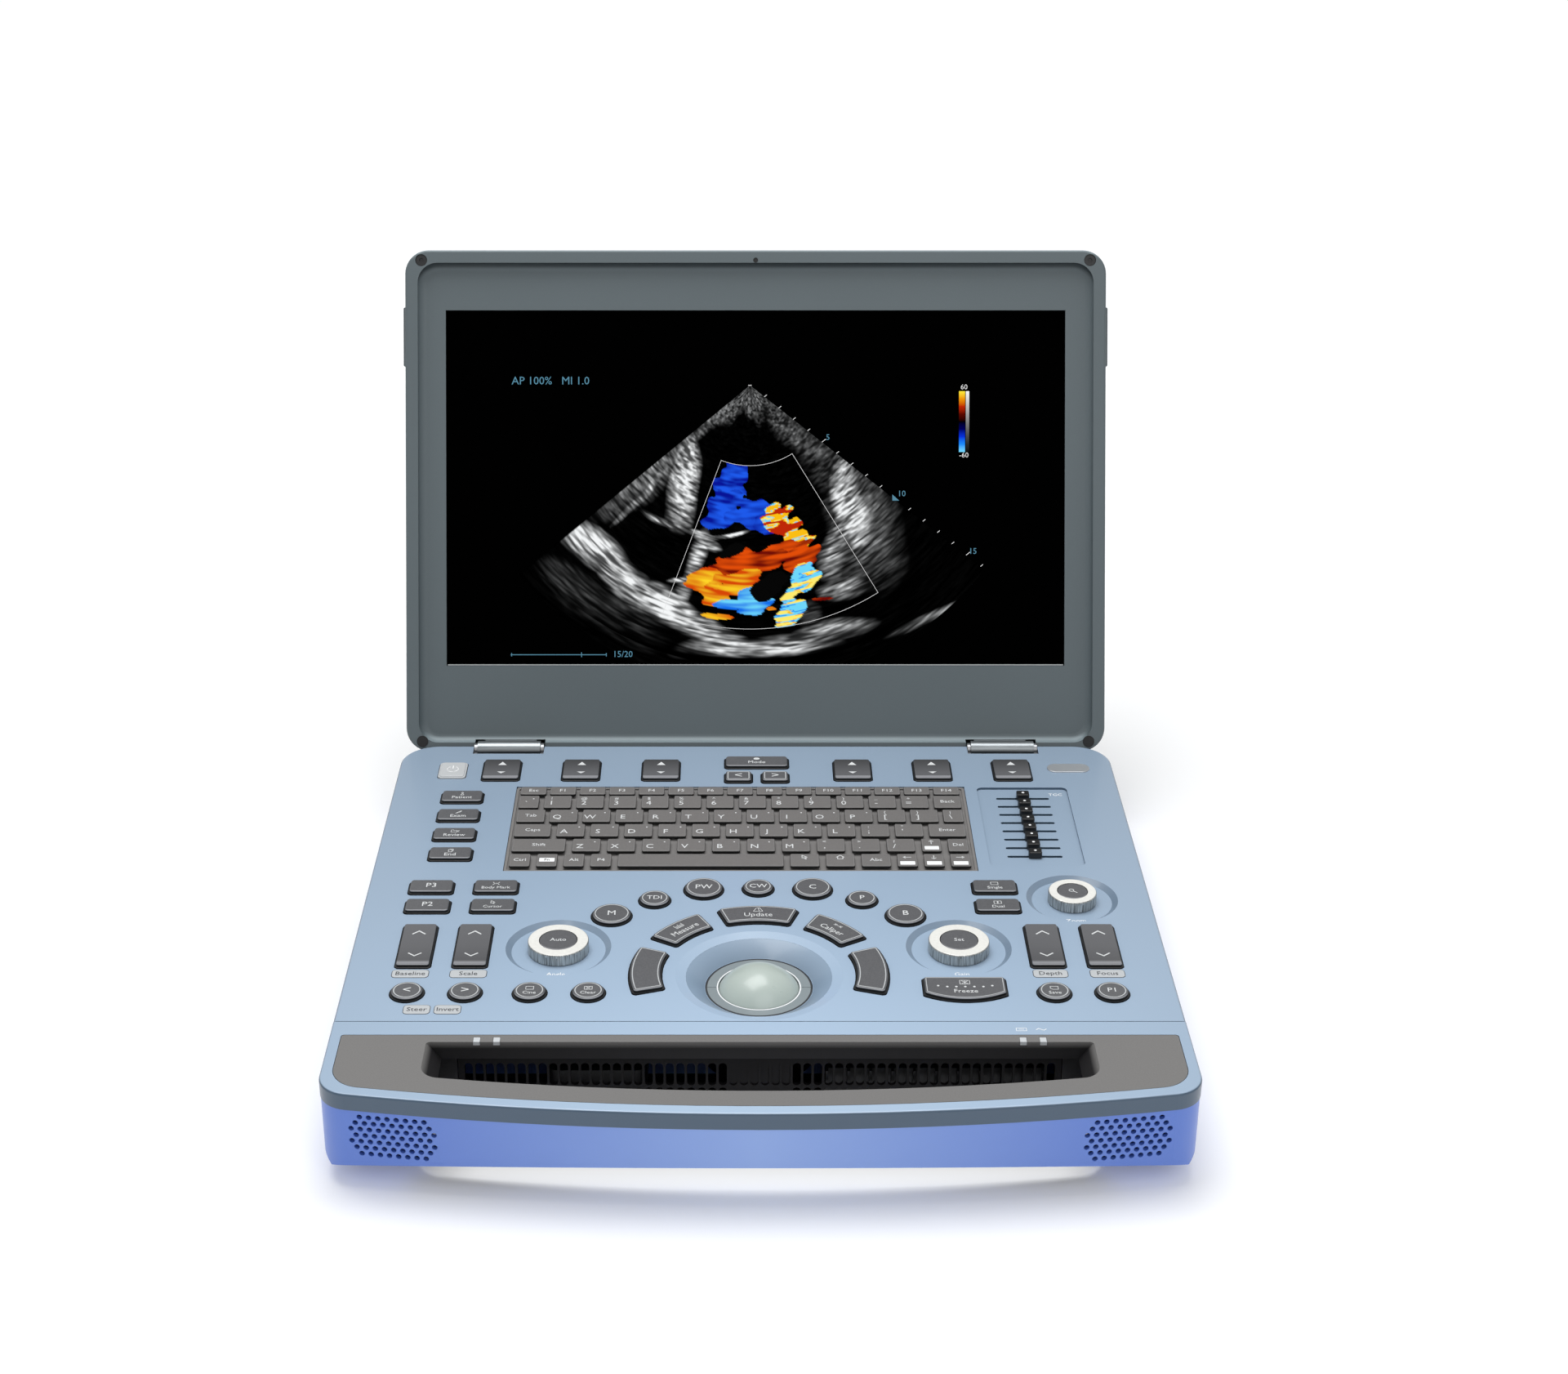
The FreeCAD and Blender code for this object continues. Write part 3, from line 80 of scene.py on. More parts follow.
class Finish:
    """A node-based material under construction, in object coordinates."""

    COAT_ROUGHNESS = 0.12

    def __init__(self, name, roughness=0.5, metallic=0.0, coat=0.0, specular=0.5):
        self.material = bpy.data.materials.new(name)
        self.material.use_nodes = True
        self.tree = self.material.node_tree
        self.shader = self.tree.nodes["Principled BSDF"]
        self.give("Roughness", roughness)
        self.give("Metallic", metallic)
        self.give("Coat Weight", coat)
        self.give("Coat Roughness", self.COAT_ROUGHNESS)
        self.give("Specular IOR Level", specular)
        self.place = self.add("ShaderNodeTexCoord").outputs["Object"]

    def feed(self, socket, value):
        """Link an output to an input, or set the input to a plain value."""
        if isinstance(value, bpy.types.NodeSocket):
            self.tree.links.new(value, socket)
        else:
            socket.default_value = value

    def add(self, kind, inputs=None, **settings):
        """A node with its settings and its inputs."""
        node = self.tree.nodes.new(kind)
        for key, value in settings.items():
            setattr(node, key, value)
        for key, value in (inputs or {}).items():
            self.feed(node.inputs[key], value)
        return node

    def give(self, name, value):
        """Set or link one input of the shader."""
        self.feed(self.shader.inputs[name], value)

    def colour(self, value):
        """Set or link the base colour."""
        self.give("Base Color", value)

    def noise(self, scale, detail=2.0, stretch=(1.0, 1.0, 1.0)):
        """Value noise in object space, in metres."""
        spot = self.add("ShaderNodeMapping", {"Scale": stretch, "Vector": self.place}).outputs["Vector"]
        values = {"Scale": scale, "Detail": detail, "Vector": spot}
        return self.add("ShaderNodeTexNoise", values).outputs["Fac"]

    def ramp(self, factor, stops):
        """Colour ramp from (position, colour) stops."""
        node = self.add("ShaderNodeValToRGB", {"Fac": factor})
        elements = node.color_ramp.elements
        while len(elements) < len(stops):
            elements.new(0.5)
        for element, (position, colour) in zip(elements, stops):
            element.position = position
            element.color = colour
        return node.outputs["Color"]

    def tones(self, factor, colour, *stops):
        """Ramp of one colour from (position, lightness) stops."""
        return self.ramp(factor, [(position, shade(colour, tone)) for position, tone in stops])

    def spread(self, factor, low, high):
        """Number between low and high that follows a factor."""
        node = self.add("ShaderNodeMapRange", {"To Min": low, "To Max": high, "Value": factor})
        return node.outputs["Result"]

    def mix(self, factor, first, second):
        """Mix of two colour outputs or colours."""
        node = self.add("ShaderNodeMix", {"Factor": factor, "A": first, "B": second}, data_type="RGBA")
        return node.outputs["Result"]

    def split(self, source=None):
        """The X, Y and Z of a direction, or of the place."""
        return self.add("ShaderNodeSeparateXYZ", {"Vector": source or self.place}).outputs

    def step(self, axis, low, high, source=None):
        """0 below and 1 above a value along one axis of the place or of a direction."""
        values = {"From Min": low, "From Max": high, "Value": self.split(source)[axis]}
        return self.add("ShaderNodeMapRange", values).outputs["Result"]

    def near(self, centre, reach):
        """1 at a place, falling to 0 at a distance along each axis; None ignores an axis."""
        scale = [0.0 if r is None else 1.0 / r for r in reach]
        shift = [-c * k for c, k in zip(centre, scale)]
        spot = self.add("ShaderNodeMapping", {"Scale": scale, "Location": shift, "Vector": self.place})
        spot = spot.outputs["Vector"]
        return self.add("ShaderNodeTexGradient", {"Vector": spot}, gradient_type="SPHERICAL").outputs["Fac"]

    def within(self, low, high):
        """1 inside an upright box in object space and 0 outside it."""
        parts = self.split()
        result = 1.0
        for axis, first, last in zip("XYZ", low, high):
            values = {0: parts[axis], 1: (first + last) / 2, 2: (last - first) / 2}
            test = self.add("ShaderNodeMath", values, operation="COMPARE").outputs[0]
            result = self.add("ShaderNodeMath", {0: result, 1: test}, operation="MULTIPLY").outputs[0]
        return result

    def normal(self):
        """Direction the surface faces."""
        return self.add("ShaderNodeNewGeometry").outputs["Normal"]

    def surface(self, grain, low, high, relief, height=None, strength=1.0):
        """Finish the material: roughness that follows a grain, and relief with a depth in millimetres."""
        self.give("Roughness", self.spread(grain, low, high))
        values = {"Distance": relief * MM, "Strength": strength, "Height": height or grain}
        self.give("Normal", self.add("ShaderNodeBump", values).outputs["Normal"])
        return self.material


def moulded(name, colour, roughness, grain, relief, drift, metallic=0.0, coat=0.0, specular=0.5):
    """Moulded or painted surface: fine grain, slow colour drift and uneven gloss."""
    finish = Finish(name, roughness, metallic, coat, specular)
    slow = finish.noise(18.0, 3.0)
    finish.colour(finish.tones(slow, colour, (0.3, 1 - drift), (0.7, 1 + drift)))
    return finish.surface(finish.noise(grain), max(0.02, roughness - 0.06), roughness + 0.08, relief)


def painted_panel(name, colour, shaded_side_colour):
    """Fine metallic satin paint, with a painted pool of light in the front middle of the panel that darkens
    towards its edges, and painted shade on the upright band.
    """
    finish = Finish(name, 0.34, 0.0, 0.25)
    fleck = finish.noise(2600.0, 1.0)
    # Painted light: lighter near the front middle of the panel, painted shade towards its rear corners and
    # edges.
    middle = finish.near((0.0, REAR_EDGE_Y - 0.33, PANEL_Z), (0.40, 0.40, None))
    top = finish.tones(middle, colour, (0.1, 0.70), (0.4, 0.92), (0.9, 1.36))
    speck = finish.mix(fleck, shade(colour, 0.80), shade(colour, 1.14))
    top = finish.mix(finish.spread(fleck, 0.25, 0.45), top, speck)
    # Painted shade: faces that turn upright take the darker side colour.
    upright = finish.step("Z", 0.93, 0.70, finish.normal())
    finish.colour(finish.mix(upright, top, shaded_side_colour))
    return finish.surface(fleck, 0.28, 0.42, 0.004)


def key_finish(name, colour, node=None, tones=()):
    """Soft-touch key: dark cap with fine grain, a painted highlight on its front bevel, and painted shade,
    near black, on its sides and its skirt.

    A curved rocker also carries painted highlight and painted shade from its front to its rear edge.
    """
    finish = Finish(name, 0.42)
    fine = finish.noise(1800.0)
    cap = finish.tones(fine, colour, (0.3, 0.85), (0.7, 1.15))
    # Rockers: painted highlight and shade along the key from front to rear.
    if node:
        along = finish.step("Y", *(corner.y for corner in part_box(node)))
        cap = finish.mix(finish.spread(fine, 0.75, 0.95), cap, finish.tones(along, colour, *tones))
    facing = finish.normal()
    # Painted highlight on faces that turn to the front.
    cap = finish.mix(finish.step("Y", -0.15, -0.5, facing), cap, shade(colour, 3.0))
    # Painted shade, near black, on the upright sides.
    cap = finish.mix(finish.step("Z", 0.2, 0.45, facing), linear(20, 20, 21), cap)
    # Painted shade, near black, on the skirt low in the gap round the key.
    finish.colour(finish.mix(finish.step("Z", KEY_SKIRT_Z, KEY_SKIRT_Z + 0.0004), linear(14, 14, 15), cap))
    return finish.surface(fine, 0.36, 0.5, 0.012)


def glow(name, colour=None):
    """Material that shines like a display pixel: one colour, or the colours stored on the mesh."""
    finish = Finish(name, 0.5, specular=0.0)
    finish.colour((0.0, 0.0, 0.0, 1.0))
    finish.give("Emission Strength", 1.0)
    if colour is None:
        source = finish.add("ShaderNodeAttribute", attribute_name="picture").outputs["Color"]
    else:
        source = finish.tones(finish.noise(900.0, 1.0), colour, (0.2, 0.92), (0.8, 1.06))
    finish.give("Emission Color", source)
    return finish.material


def knob_finish(colour):
    """Turned and painted knob: near-white flat top, satin silver side with fine upright grooves."""
    finish = Finish("knob_silver", 0.3)
    ripple = finish.noise(2600.0, stretch=(1.0, 1.0, 0.03))
    fine = finish.noise(700.0)
    top = finish.step("Z", 0.75, 0.95, finish.normal())
    side = finish.tones(ripple, colour, (0.38, 0.34), (0.62, 0.95))
    flat = finish.ramp(fine, [(0.3, linear(224, 224, 219)), (0.7, linear(232, 232, 227))])
    finish.colour(finish.mix(top, side, flat))
    finish.give("Metallic", finish.spread(top, 0.75, 0.0))
    return finish.surface(fine, 0.26, 0.38, 0.03, ripple, 0.5)


def keyboard_finish(colour):
    """Typing keys: grey tops, with painted shade, near black, on their sides."""
    finish = Finish("keyboard_grey", 0.45)
    fine = finish.noise(1800.0)
    cap = finish.tones(fine, colour, (0.3, 0.92), (0.7, 1.08))
    # Painted shade: faces that turn away from up go near black.
    finish.colour(finish.mix(finish.step("Z", 0.3, 0.6, finish.normal()), linear(18, 18, 18), cap))
    return finish.surface(fine, 0.4, 0.52, 0.012)


def lower_finish(colour, middle):
    """Blue satin case with painted light in the middle of its front, and painted shade, near black, in the
    well round the grip.
    """
    finish = Finish("lower_case", 0.36, 0.0, 0.2)
    fine = finish.noise(1500.0)
    # Painted light: lighter towards the middle of the front.
    blue = finish.mix(finish.near((0.0, 0.0, 0.0), (0.16, None, None)), colour, middle)
    grain = finish.mix(finish.spread(fine, 0.0, 0.12), blue, shade(colour, 1.5))
    # Painted shade, near black, in the well round the grip.
    half, depth, floor, top = 0.156, 0.08, 0.006, 0.1
    well = finish.within((-half, GRIP_FRONT_Y, floor), (half, GRIP_FRONT_Y + depth, top))
    finish.colour(finish.mix(well, grain, linear(24, 23, 25)))
    return finish.surface(fine, 0.32, 0.44, 0.006)


def trim_finish(colour):
    """Dark grey trim with a fine grain, and painted shade, near black, where it lines the grip opening."""
    finish = Finish("trim_grey", 0.5)
    fine = finish.noise(1400.0)
    face = finish.tones(fine, colour, (0.3, 0.94), (0.7, 1.06))
    # Painted shade on the lip down inside the grip opening.
    finish.colour(finish.mix(finish.step("Z", PANEL_Z - 0.0035, PANEL_Z - 0.0006), linear(26, 25, 27), face))
    return finish.surface(fine, 0.44, 0.58, 0.02)


def brushed(name, colour):
    """Metal brushed along X."""
    finish = Finish(name, 0.3, 0.9)
    lines = finish.noise(900.0, 3.0, (0.04, 1.0, 1.0))
    finish.colour(finish.tones(lines, colour, (0.3, 0.85), (0.7, 1.15)))
    return finish.surface(lines, 0.22, 0.42, 0.006)


def bezel_finish(colour):
    """Slate plastic with a fine texture, a painted highlight where it faces up and painted shade where it
    faces down.
    """
    finish = Finish("bezel_slate", 0.46, 0.0, 0.0, 0.45)
    grain = finish.noise(2200.0)
    base = finish.tones(finish.noise(7.0), colour, (0.3, 0.95), (0.7, 1.05))
    speck = finish.tones(grain, colour, (0.3, 0.9), (0.7, 1.1))
    tone = finish.mix(finish.spread(grain, 0.2, 0.5), base, speck)
    facing = finish.normal()
    # Painted highlight on faces that look up.
    tone = finish.mix(finish.step("Z", 0.62, 0.85, facing), tone, shade(colour, 2.0))
    # Painted shade on faces that look down.
    finish.colour(finish.mix(finish.step("Z", -0.35, 0.1, facing), shade(colour, 0.35), tone))
    return finish.surface(grain, 0.4, 0.55, 0.012)


# Plain finishes: material name, colour, roughness, scale of the grain, relief in millimetres, colour drift
PLAIN = {
    "grille": ("grille_black", (22, 21, 23), 0.5, 1200, 0.02, 0.1),
    "tray": ("tray_grey", (122, 120, 119), 0.5, 1500, 0.02, 0.06),
    "power": ("power_grey", (186, 189, 191), 0.38, 1500, 0.006, 0.03),
    "slider": ("slider_black", (20, 20, 21), 0.4, 2000, 0.01, 0.1),
    "ball": ("ball_grey", (178, 190, 184), 0.3, 60, 0.001, 0.02),
    "ring": ("ring_grey", (132, 142, 146), 0.36, 1600, 0.006, 0.04),
    "window": ("window_clear", (200, 204, 207), 0.3, 300, 0.002, 0.03),
    "badge": ("badge_silver", (190, 194, 198), 0.3, 800, 0.004, 0.04),
    "back": ("lid_back", (84, 93, 97), 0.5, 1400, 0.03, 0.05),
    "glass": ("screen_black", (1, 1, 1), 0.5, 40, 0.0004, 0.02),
    "display": ("display_black", (2, 2, 2), 0.5, 200, 0.01, 0.1),
    "board": ("board_green", (20, 78, 44), 0.4, 300, 0.02, 0.2),
    "black": ("socket_black", (26, 26, 28), 0.45, 1200, 0.02, 0.1),
    "rubber": ("rubber_black", (30, 30, 31), 0.75, 1600, 0.03, 0.1),
    "ink_light": ("legend_light", (214, 217, 218), 0.5, 900, 0.002, 0.02),
    "ink_white": ("legend_white", (238, 240, 241), 0.5, 900, 0.002, 0.02),
    "ink_dark": ("legend_dark", (48, 50, 54), 0.5, 900, 0.002, 0.02),
    # Light rim round key tops, partly painted highlight, and the painted highlight at the foot of the
    # display.
    "outline": ("outline_light", (190, 194, 196), 0.35, 900, 0.002, 0.03),
    # Painted highlight on the edges of the typing keys.
    "outline_soft": ("outline_soft", (128, 127, 127), 0.4, 900, 0.002, 0.03),
    "pad": ("label_pad", (186, 190, 193), 0.4, 1500, 0.006, 0.03),
}
PLAIN_EXTRAS = {"grille": {"specular": 0.2}, "ball": {"coat": 0.25}, "window": {"coat": 0.3},
                "badge": {"metallic": 0.6}, "glass": {"specular": 0.0}, "display": {"specular": 0.0}}
# Painted highlight and shade of a rocker from its front to its rear edge, as (share of its depth, tone)
ROCKER_LIGHT_AND_SHADE = [(0.04, 1.2), (0.1, 3.6), (0.17, 2.4), (0.2, 0.6), (0.24, 1.3), (1.0, 0.22)]
TALL_ROCKER_LIGHT_AND_SHADE = [(0.02, 1.2), (0.06, 3.2), (0.1, 1.9), (0.12, 0.8), (0.5, 1.1), (1.0, 1.2)]


def build_materials():
    """Every finish by name."""
    rocker = linear(86, 87, 90)
    materials = {
        # The panel's second colour is painted shade for its upright band.
        "panel": painted_panel("panel_blue", linear(152, 173, 195), linear(66, 86, 106)),
        # The lower case's second colour is painted light for the middle of its front.
        "lower": lower_finish(linear(88, 121, 203), linear(140, 168, 224)),
        "trim": trim_finish(linear(113, 112, 111)),
        "key": key_finish("key_grey", linear(88, 89, 92)),
        "rocker": key_finish("rocker_grey", rocker, "soft_rockers", ROCKER_LIGHT_AND_SHADE),
        "tall_rocker": key_finish("tall_rocker_grey", rocker, "depth_rocker", TALL_ROCKER_LIGHT_AND_SHADE),
        "keyboard": keyboard_finish(linear(111, 109, 108)),
        "knob": knob_finish(linear(205, 208, 206)),
        "bezel": bezel_finish(linear(88, 98, 102)),
        "hinge": brushed("hinge_silver", linear(138, 143, 146)),
        "steel": brushed("plain_steel", linear(150, 152, 155)),
        "picture": glow("display_pixels"),
        "glow_white": glow("display_white", linear(225, 225, 225)),
        "glow_teal": glow("display_teal", linear(88, 138, 160)),
    }
    for key, (name, colour, *texture) in PLAIN.items():
        materials[key] = moulded(name, linear(*colour), *texture, **PLAIN_EXTRAS.get(key, {}))
    return materials


# CAD nodes by finish; the rest go by their names' endings
FINISH_NODES = {
    "lower": "bottom_shell",
    "panel": "top_cover handle_frame trackball_dish",
    "trim": "handle_trim", "grille": "vent_grille", "tray": "keyboard_tray", "ring": "trackball_ring",
    "board": "panel_board main_board",
    "black": "speakers front_end_board battery_pack cooling_fans heat_sink trackball_housing probe_connector"
             " rear_io_panel lid_screws",
    "steel": "power_module base_screws hinge_brackets encoders",
    "rubber": "rubber_feet lid_pads", "window": "indicator_windows", "rocker": "soft_rockers",
    "badge": "badge_plate", "ball": "trackball", "keyboard": "keyboard_keys", "power": "power_key",
    "bezel": "lid_bezel", "back": "lid_back_cover latch_left latch_right", "display": "lcd_panel",
    "glass": "screen_glass", "hinge": "lid_hinges",
}
NODE_FINISH = {node: finish for finish, nodes in FINISH_NODES.items() for node in nodes.split()}
NAME_FINISH = (("_knob", "knob"), ("_rocker", "tall_rocker"))


def finish_of(node):
    """Name of a CAD node's finish."""
    if node in NODE_FINISH:
        return NODE_FINISH[node]
    if node.startswith("gain_slider"):
        return "slider"
    for ending, finish in NAME_FINISH:
        if node.endswith(ending):
            return finish
    return "key"


def dress_cad(materials):
    """Give every CAD node its finish."""
    for name, piece in NODES.items():
        piece.data.materials.clear()
        piece.data.materials.append(materials[finish_of(name)])


# ---- reading shapes from the frame

# Mesh points this close are one point, and points this near a solid's top are on it, in metres
WELD = 1e-6
FLAT = 2e-5


def corners(node):
    """Mesh points of a CAD node, one in each row."""
    return np.array([v.co for v in NODES[node].data.vertices]).reshape(-1, 3)


def islands(node):
    """The solids of a CAD node, as (low corner, high corner, faces), and the points of the faces."""
    keys = np.round(corners(node) / WELD).astype(np.int64)
    unique, index = np.unique(keys, axis=0, return_inverse=True)
    index = index.ravel()
    faces = [[int(index[v]) for v in polygon.vertices] for polygon in NODES[node].data.polygons]
    pairs = np.array([(face[0], v) for face in faces for v in face[1:]])
    label = np.arange(len(unique))
    while True:
        low = np.minimum(label[pairs[:, 0]], label[pairs[:, 1]])
        new = label.copy()
        np.minimum.at(new, pairs[:, 0], low)
        np.minimum.at(new, pairs[:, 1], low)
        new = new[new]
        if np.array_equal(new, label):
            break
        label = new
    spots = unique * WELD
    found = {}
    for face in faces:
        found.setdefault(int(label[face[0]]), []).append(face)
    solids = []
    for members in found.values():
        used = np.unique([v for face in members for v in face])
        solids.append((Vector(spots[used].min(0)), Vector(spots[used].max(0)), members))
    return solids, spots


def in_rows(solids, tolerance=4 * MM):
    """Solids sorted from the rear row to the front row, and from left to right in each row."""
    ordered = sorted(solids, key=lambda s: -(s[0].y + s[1].y))
    rows = []
    for solid in ordered:
        middle = (solid[0].y + solid[1].y) / 2
        if rows and abs(rows[-1][0] - middle) < tolerance:
            rows[-1][1].append(solid)
        else:
            rows.append((middle, [solid]))
    return [sorted(members, key=lambda s: s[0].x) for _, members in rows]


def top_loops(solid, spots):
    """Closed outlines of a solid's flat top, in order, as points."""
    top = solid[1].z
    edges = {}
    for face in solid[2]:
        if all(abs(spots[v][2] - top) < FLAT for v in face):
            for a, b in zip(face, face[1:] + face[:1]):
                edges[(a, b)] = True
    border = {a: b for a, b in edges if (b, a) not in edges}
    loops = []
    while border:
        start, here = next(iter(border.items()))
        loop = [start]
        del border[start]
        while here != start and here in border:
            loop.append(here)
            here = border.pop(here)
        loops.append([Vector(spots[v]) for v in loop])
    return loops


# ---- building new pieces

def put(name, data):
    """A new object in the scene."""
    made = bpy.data.objects.new(name, data)
    bpy.context.scene.collection.objects.link(made)
    return made
class Sheet:
    """Collects thin raised shapes on one body and turns them into one mesh."""

    SUNK, RAISED = -0.03 * MM, 0.06 * MM
    LETTER_DEPTH = 0.1 * MM

    def __init__(self, ground=None, lift=0.0):
        self.ground = ground or (lambda x, y: 0.0)
        self.lift = lift * MM
        self.points = []
        self.faces = []

    def add(self, points, faces):
        """Faces on points of their own."""
        start = len(self.points)
        self.points += [tuple(p) for p in points]
        self.faces += [tuple(start + v for v in face) for face in faces]

    def level(self, x, y):
        """Height that the shapes sit on at a place."""
        return self.ground(x, y) + self.lift

    def prism(self, outline):
        """Thin plate on a closed outline, anticlockwise from above."""
        count = len(outline)
        levels = [self.level(p[0], p[1]) for p in outline]
        points = [(p[0], p[1], z + self.SUNK) for p, z in zip(outline, levels)]
        points += [(p[0], p[1], z + self.RAISED) for p, z in zip(outline, levels)]
        faces = [tuple(reversed(range(count))), tuple(range(count, 2 * count))]
        faces += [(i, (i + 1) % count, count + (i + 1) % count, count + i) for i in range(count)]
        self.add(points, faces)

    def band(self, loop, outer, inner):
        """Closed strip along a loop: its outer and inner edges as distances outside the loop."""
        count = len(loop)
        points = []
        for i in range(count):
            before, here, after = loop[i - 1], loop[i], loop[(i + 1) % count]
            run = ((here - before).normalized() + (after - here).normalized()).normalized()
            side = Vector((run.y, -run.x, 0))
            profile = ((outer, self.SUNK), (outer, self.RAISED), (inner, self.RAISED), (inner, self.SUNK))
            for offset, lift in profile:
                spot = here + side * offset
                points.append((spot.x, spot.y, here.z + lift))
        faces = []
        for i in range(count):
            a, b = 4 * i, 4 * ((i + 1) % count)
            for k in range(4):
                faces.append((a + k, b + k, b + (k + 1) % 4, a + (k + 1) % 4))
        self.add(points, faces)

    def stroke(self, points, width):
        """Line of short plates through points, in millimetres."""
        for (ax, ay), (bx, by) in zip(points, points[1:]):
            run = Vector((bx - ax, by - ay, 0)).normalized() * (width * MM / 2)
            side = Vector((-run.y, run.x, 0))
            start = Vector((ax * MM, ay * MM, 0)) - 0.6 * run
            end = Vector((bx * MM, by * MM, 0)) + 0.6 * run
            self.prism([start - side, end - side, end + side, start + side])

    def disc(self, x, y, radius, count, squash=1.0):
        """Round or oval plate, in millimetres."""
        self.prism(circle(x * MM, y * MM, radius * MM, count, squash))

    def plate(self, x, y, width, depth, radius):
        """Rounded rectangle, in millimetres."""
        self.prism(rounded(x * MM, y * MM, width * MM, depth * MM, radius * MM))

    def icon(self, name, x, y, size, width=0.28, turn=0.0):
        """Small line drawing centred on a point, in millimetres."""
        cos, sin = math.cos(turn), math.sin(turn)
        for line in ICONS[name]:
            spots = [(px * size / 2, py * size / 2) for px, py in line]
            self.stroke([(x + px * cos - py * sin, y + px * sin + py * cos) for px, py in spots], width)

    def word(self, words, x, y, size, turn=0.0):
        """Lettering centred on a point, in millimetres, and laid on the surface."""
        curve = bpy.data.curves.new("lettering", "FONT")
        curve.body = words
        curve.size = size * MM
        curve.align_x = curve.align_y = "CENTER"
        curve.extrude = self.LETTER_DEPTH
        curve.resolution_u = 2
        holder = put("lettering", curve)
        bpy.context.view_layer.update()
        mesh = bpy.data.meshes.new_from_object(holder.evaluated_get(bpy.context.evaluated_depsgraph_get()))
        place = Matrix.Translation((x * MM, y * MM, 0)) @ Matrix.Rotation(turn, 4, "Z")
        spots = []
        for vertex in mesh.vertices:
            spot = place @ vertex.co
            rise = self.RAISED if vertex.co.z > 0 else self.SUNK
            spots.append((spot.x, spot.y, self.level(spot.x, spot.y) + rise))
        self.add(spots, [tuple(p.vertices) for p in mesh.polygons])
        bpy.data.objects.remove(holder)
        bpy.data.curves.remove(curve)
        bpy.data.meshes.remove(mesh)

    def on_lid(self):
        """Move shapes drawn over the display to the open lid."""
        self.points = [tuple(lid_point(x, SCREEN_UP + y, SCREEN_BACK - z)) for x, y, z in self.points]

    def piece(self, name, body, material="ink_light", slot="badge_silver"):
        """The collected shapes as one piece that rides on a body."""
        mesh = bpy.data.meshes.new(name)
        mesh.from_pydata(self.points, [], self.faces)
        mesh.update()
        mesh.materials.append(MATERIALS[material])
        made = put(name, mesh)
        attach(made, body)

    def legend(self, node, material="ink_light"):
        """The collected shapes as the legend of a CAD node."""
        self.piece(node + "_legend", node, material)


def lid_point(x, up, back):
    """Point on the open lid: across, up from the hinge axis, and back from it."""
    return LID_AXIS + Vector((x, 0, 0)) + LID_UP * up + LID_BACK * back


def lid_extent(node):
    """Low and high (x, up, back) of a lid node."""
    points = corners(node) - np.array(LID_AXIS)
    local = np.column_stack([points[:, 0], points @ np.array(LID_UP), points @ np.array(LID_BACK)])
    return local.min(0), local.max(0)


def circle(x, y, radius, count, squash=1.0):
    """Anticlockwise circle or ellipse as points."""
    turns = [2 * math.pi / count * i for i in range(count)]
    return [Vector((x + radius * math.cos(a), y + squash * radius * math.sin(a), 0)) for a in turns]


def rounded(x, y, width, depth, radius, count=6):
    """Anticlockwise rounded rectangle as points."""
    points = []
    for sx, sy, start in ((1, 1, 0), (-1, 1, 90), (-1, -1, 180), (1, -1, 270)):
        for i in range(count + 1):
            angle = math.radians(start + 90 * i / count)
            points.append(Vector((x + sx * (width / 2 - radius) + radius * math.cos(angle),
                                  y + sy * (depth / 2 - radius) + radius * math.sin(angle), 0)))
    return points


# Keys with a thin light line round the top, a light rim that is partly painted highlight where the edge
# catches light, and on the typing keys only a painted highlight at the edge: how far inside the edge it
# starts and its width, in millimetres, and its finish
OUTLINED = {
    "mode_keys": (0.35, 0.5, "outline"), "sector_keys": (0.3, 0.45, "outline"),
    "function_keys": (0.35, 0.5, "outline"), "freeze_key": (0.2, 0.35, "outline"),
    "keyboard_keys": (0.0, 0.22, "outline_soft"),
}


def outlines():
    """Thin light lines round the tops of the keys, partly painted highlight on their edges; wide function
    keys have none.
    """
    for node, (inset, width, material) in OUTLINED.items():
        solids, spots = islands(node)
        lines = Sheet()
        for solid in solids:
            size = solid[1] - solid[0]
            if node == "function_keys" and size.x > 1.3 * size.y:
                continue
            for loop in top_loops(solid, spots):
                lines.band(loop, -inset * MM, -(inset + width) * MM)
        lines.piece(node + "_outline", node, material)


def ball_lines():
    """Dark line round the trackball's retaining ring, and a painted highlight, a light line, at its inner
    edge next to the ball.
    """
    ball = Vector(JOINTS["trackball_roll"]["pos_m"])
    points = corners("trackball_ring")
    reach = np.hypot(points[:, 0] - ball.x, points[:, 1] - ball.y)
    top = points[:, 2].max()
    inner = reach[points[:, 2] > top - 0.3 * MM].min()
    ground = Ground("trackball_ring")
    # The inner light line is a painted highlight where the ring meets the ball.
    for name, radius, width, ink in (("ball_ring_edge", reach.max() - 0.1 * MM, 0.7, "ink_dark"),
                                     ("ball_ring_inner_highlight", inner + 0.9 * MM, 0.55, "ink_white")):
        height = ground(ball.x + radius - 0.4 * MM, ball.y + 1.5 * MM)
        line = Sheet()
        line.band([p + Vector((0, 0, height)) for p in circle(ball.x, ball.y, radius, 96)], 0.0, -width * MM)
        line.piece(name, "base", ink)


# ---- legends on the keys

class Ground:
    """Height of the top surface of CAD nodes at any place, by casting a ray down on them."""

    def __init__(self, *nodes):
        self.trees = []
        for node in nodes:
            mesh = NODES[node].data
            corners = [v.co.copy() for v in mesh.vertices]
            self.trees.append(BVHTree.FromPolygons(corners, [tuple(p.vertices) for p in mesh.polygons]))

    def __call__(self, x, y):
        heights = [tree.ray_cast(Vector((x, y, 1.0)), Vector((0, 0, -1)))[0] for tree in self.trees]
        return max([spot.z for spot in heights if spot] or [PANEL_Z])


def box_line(left, front, right, rear):
    """Closed line round a box."""
    return [(left, front), (right, front), (right, rear), (left, rear), (left, front)]


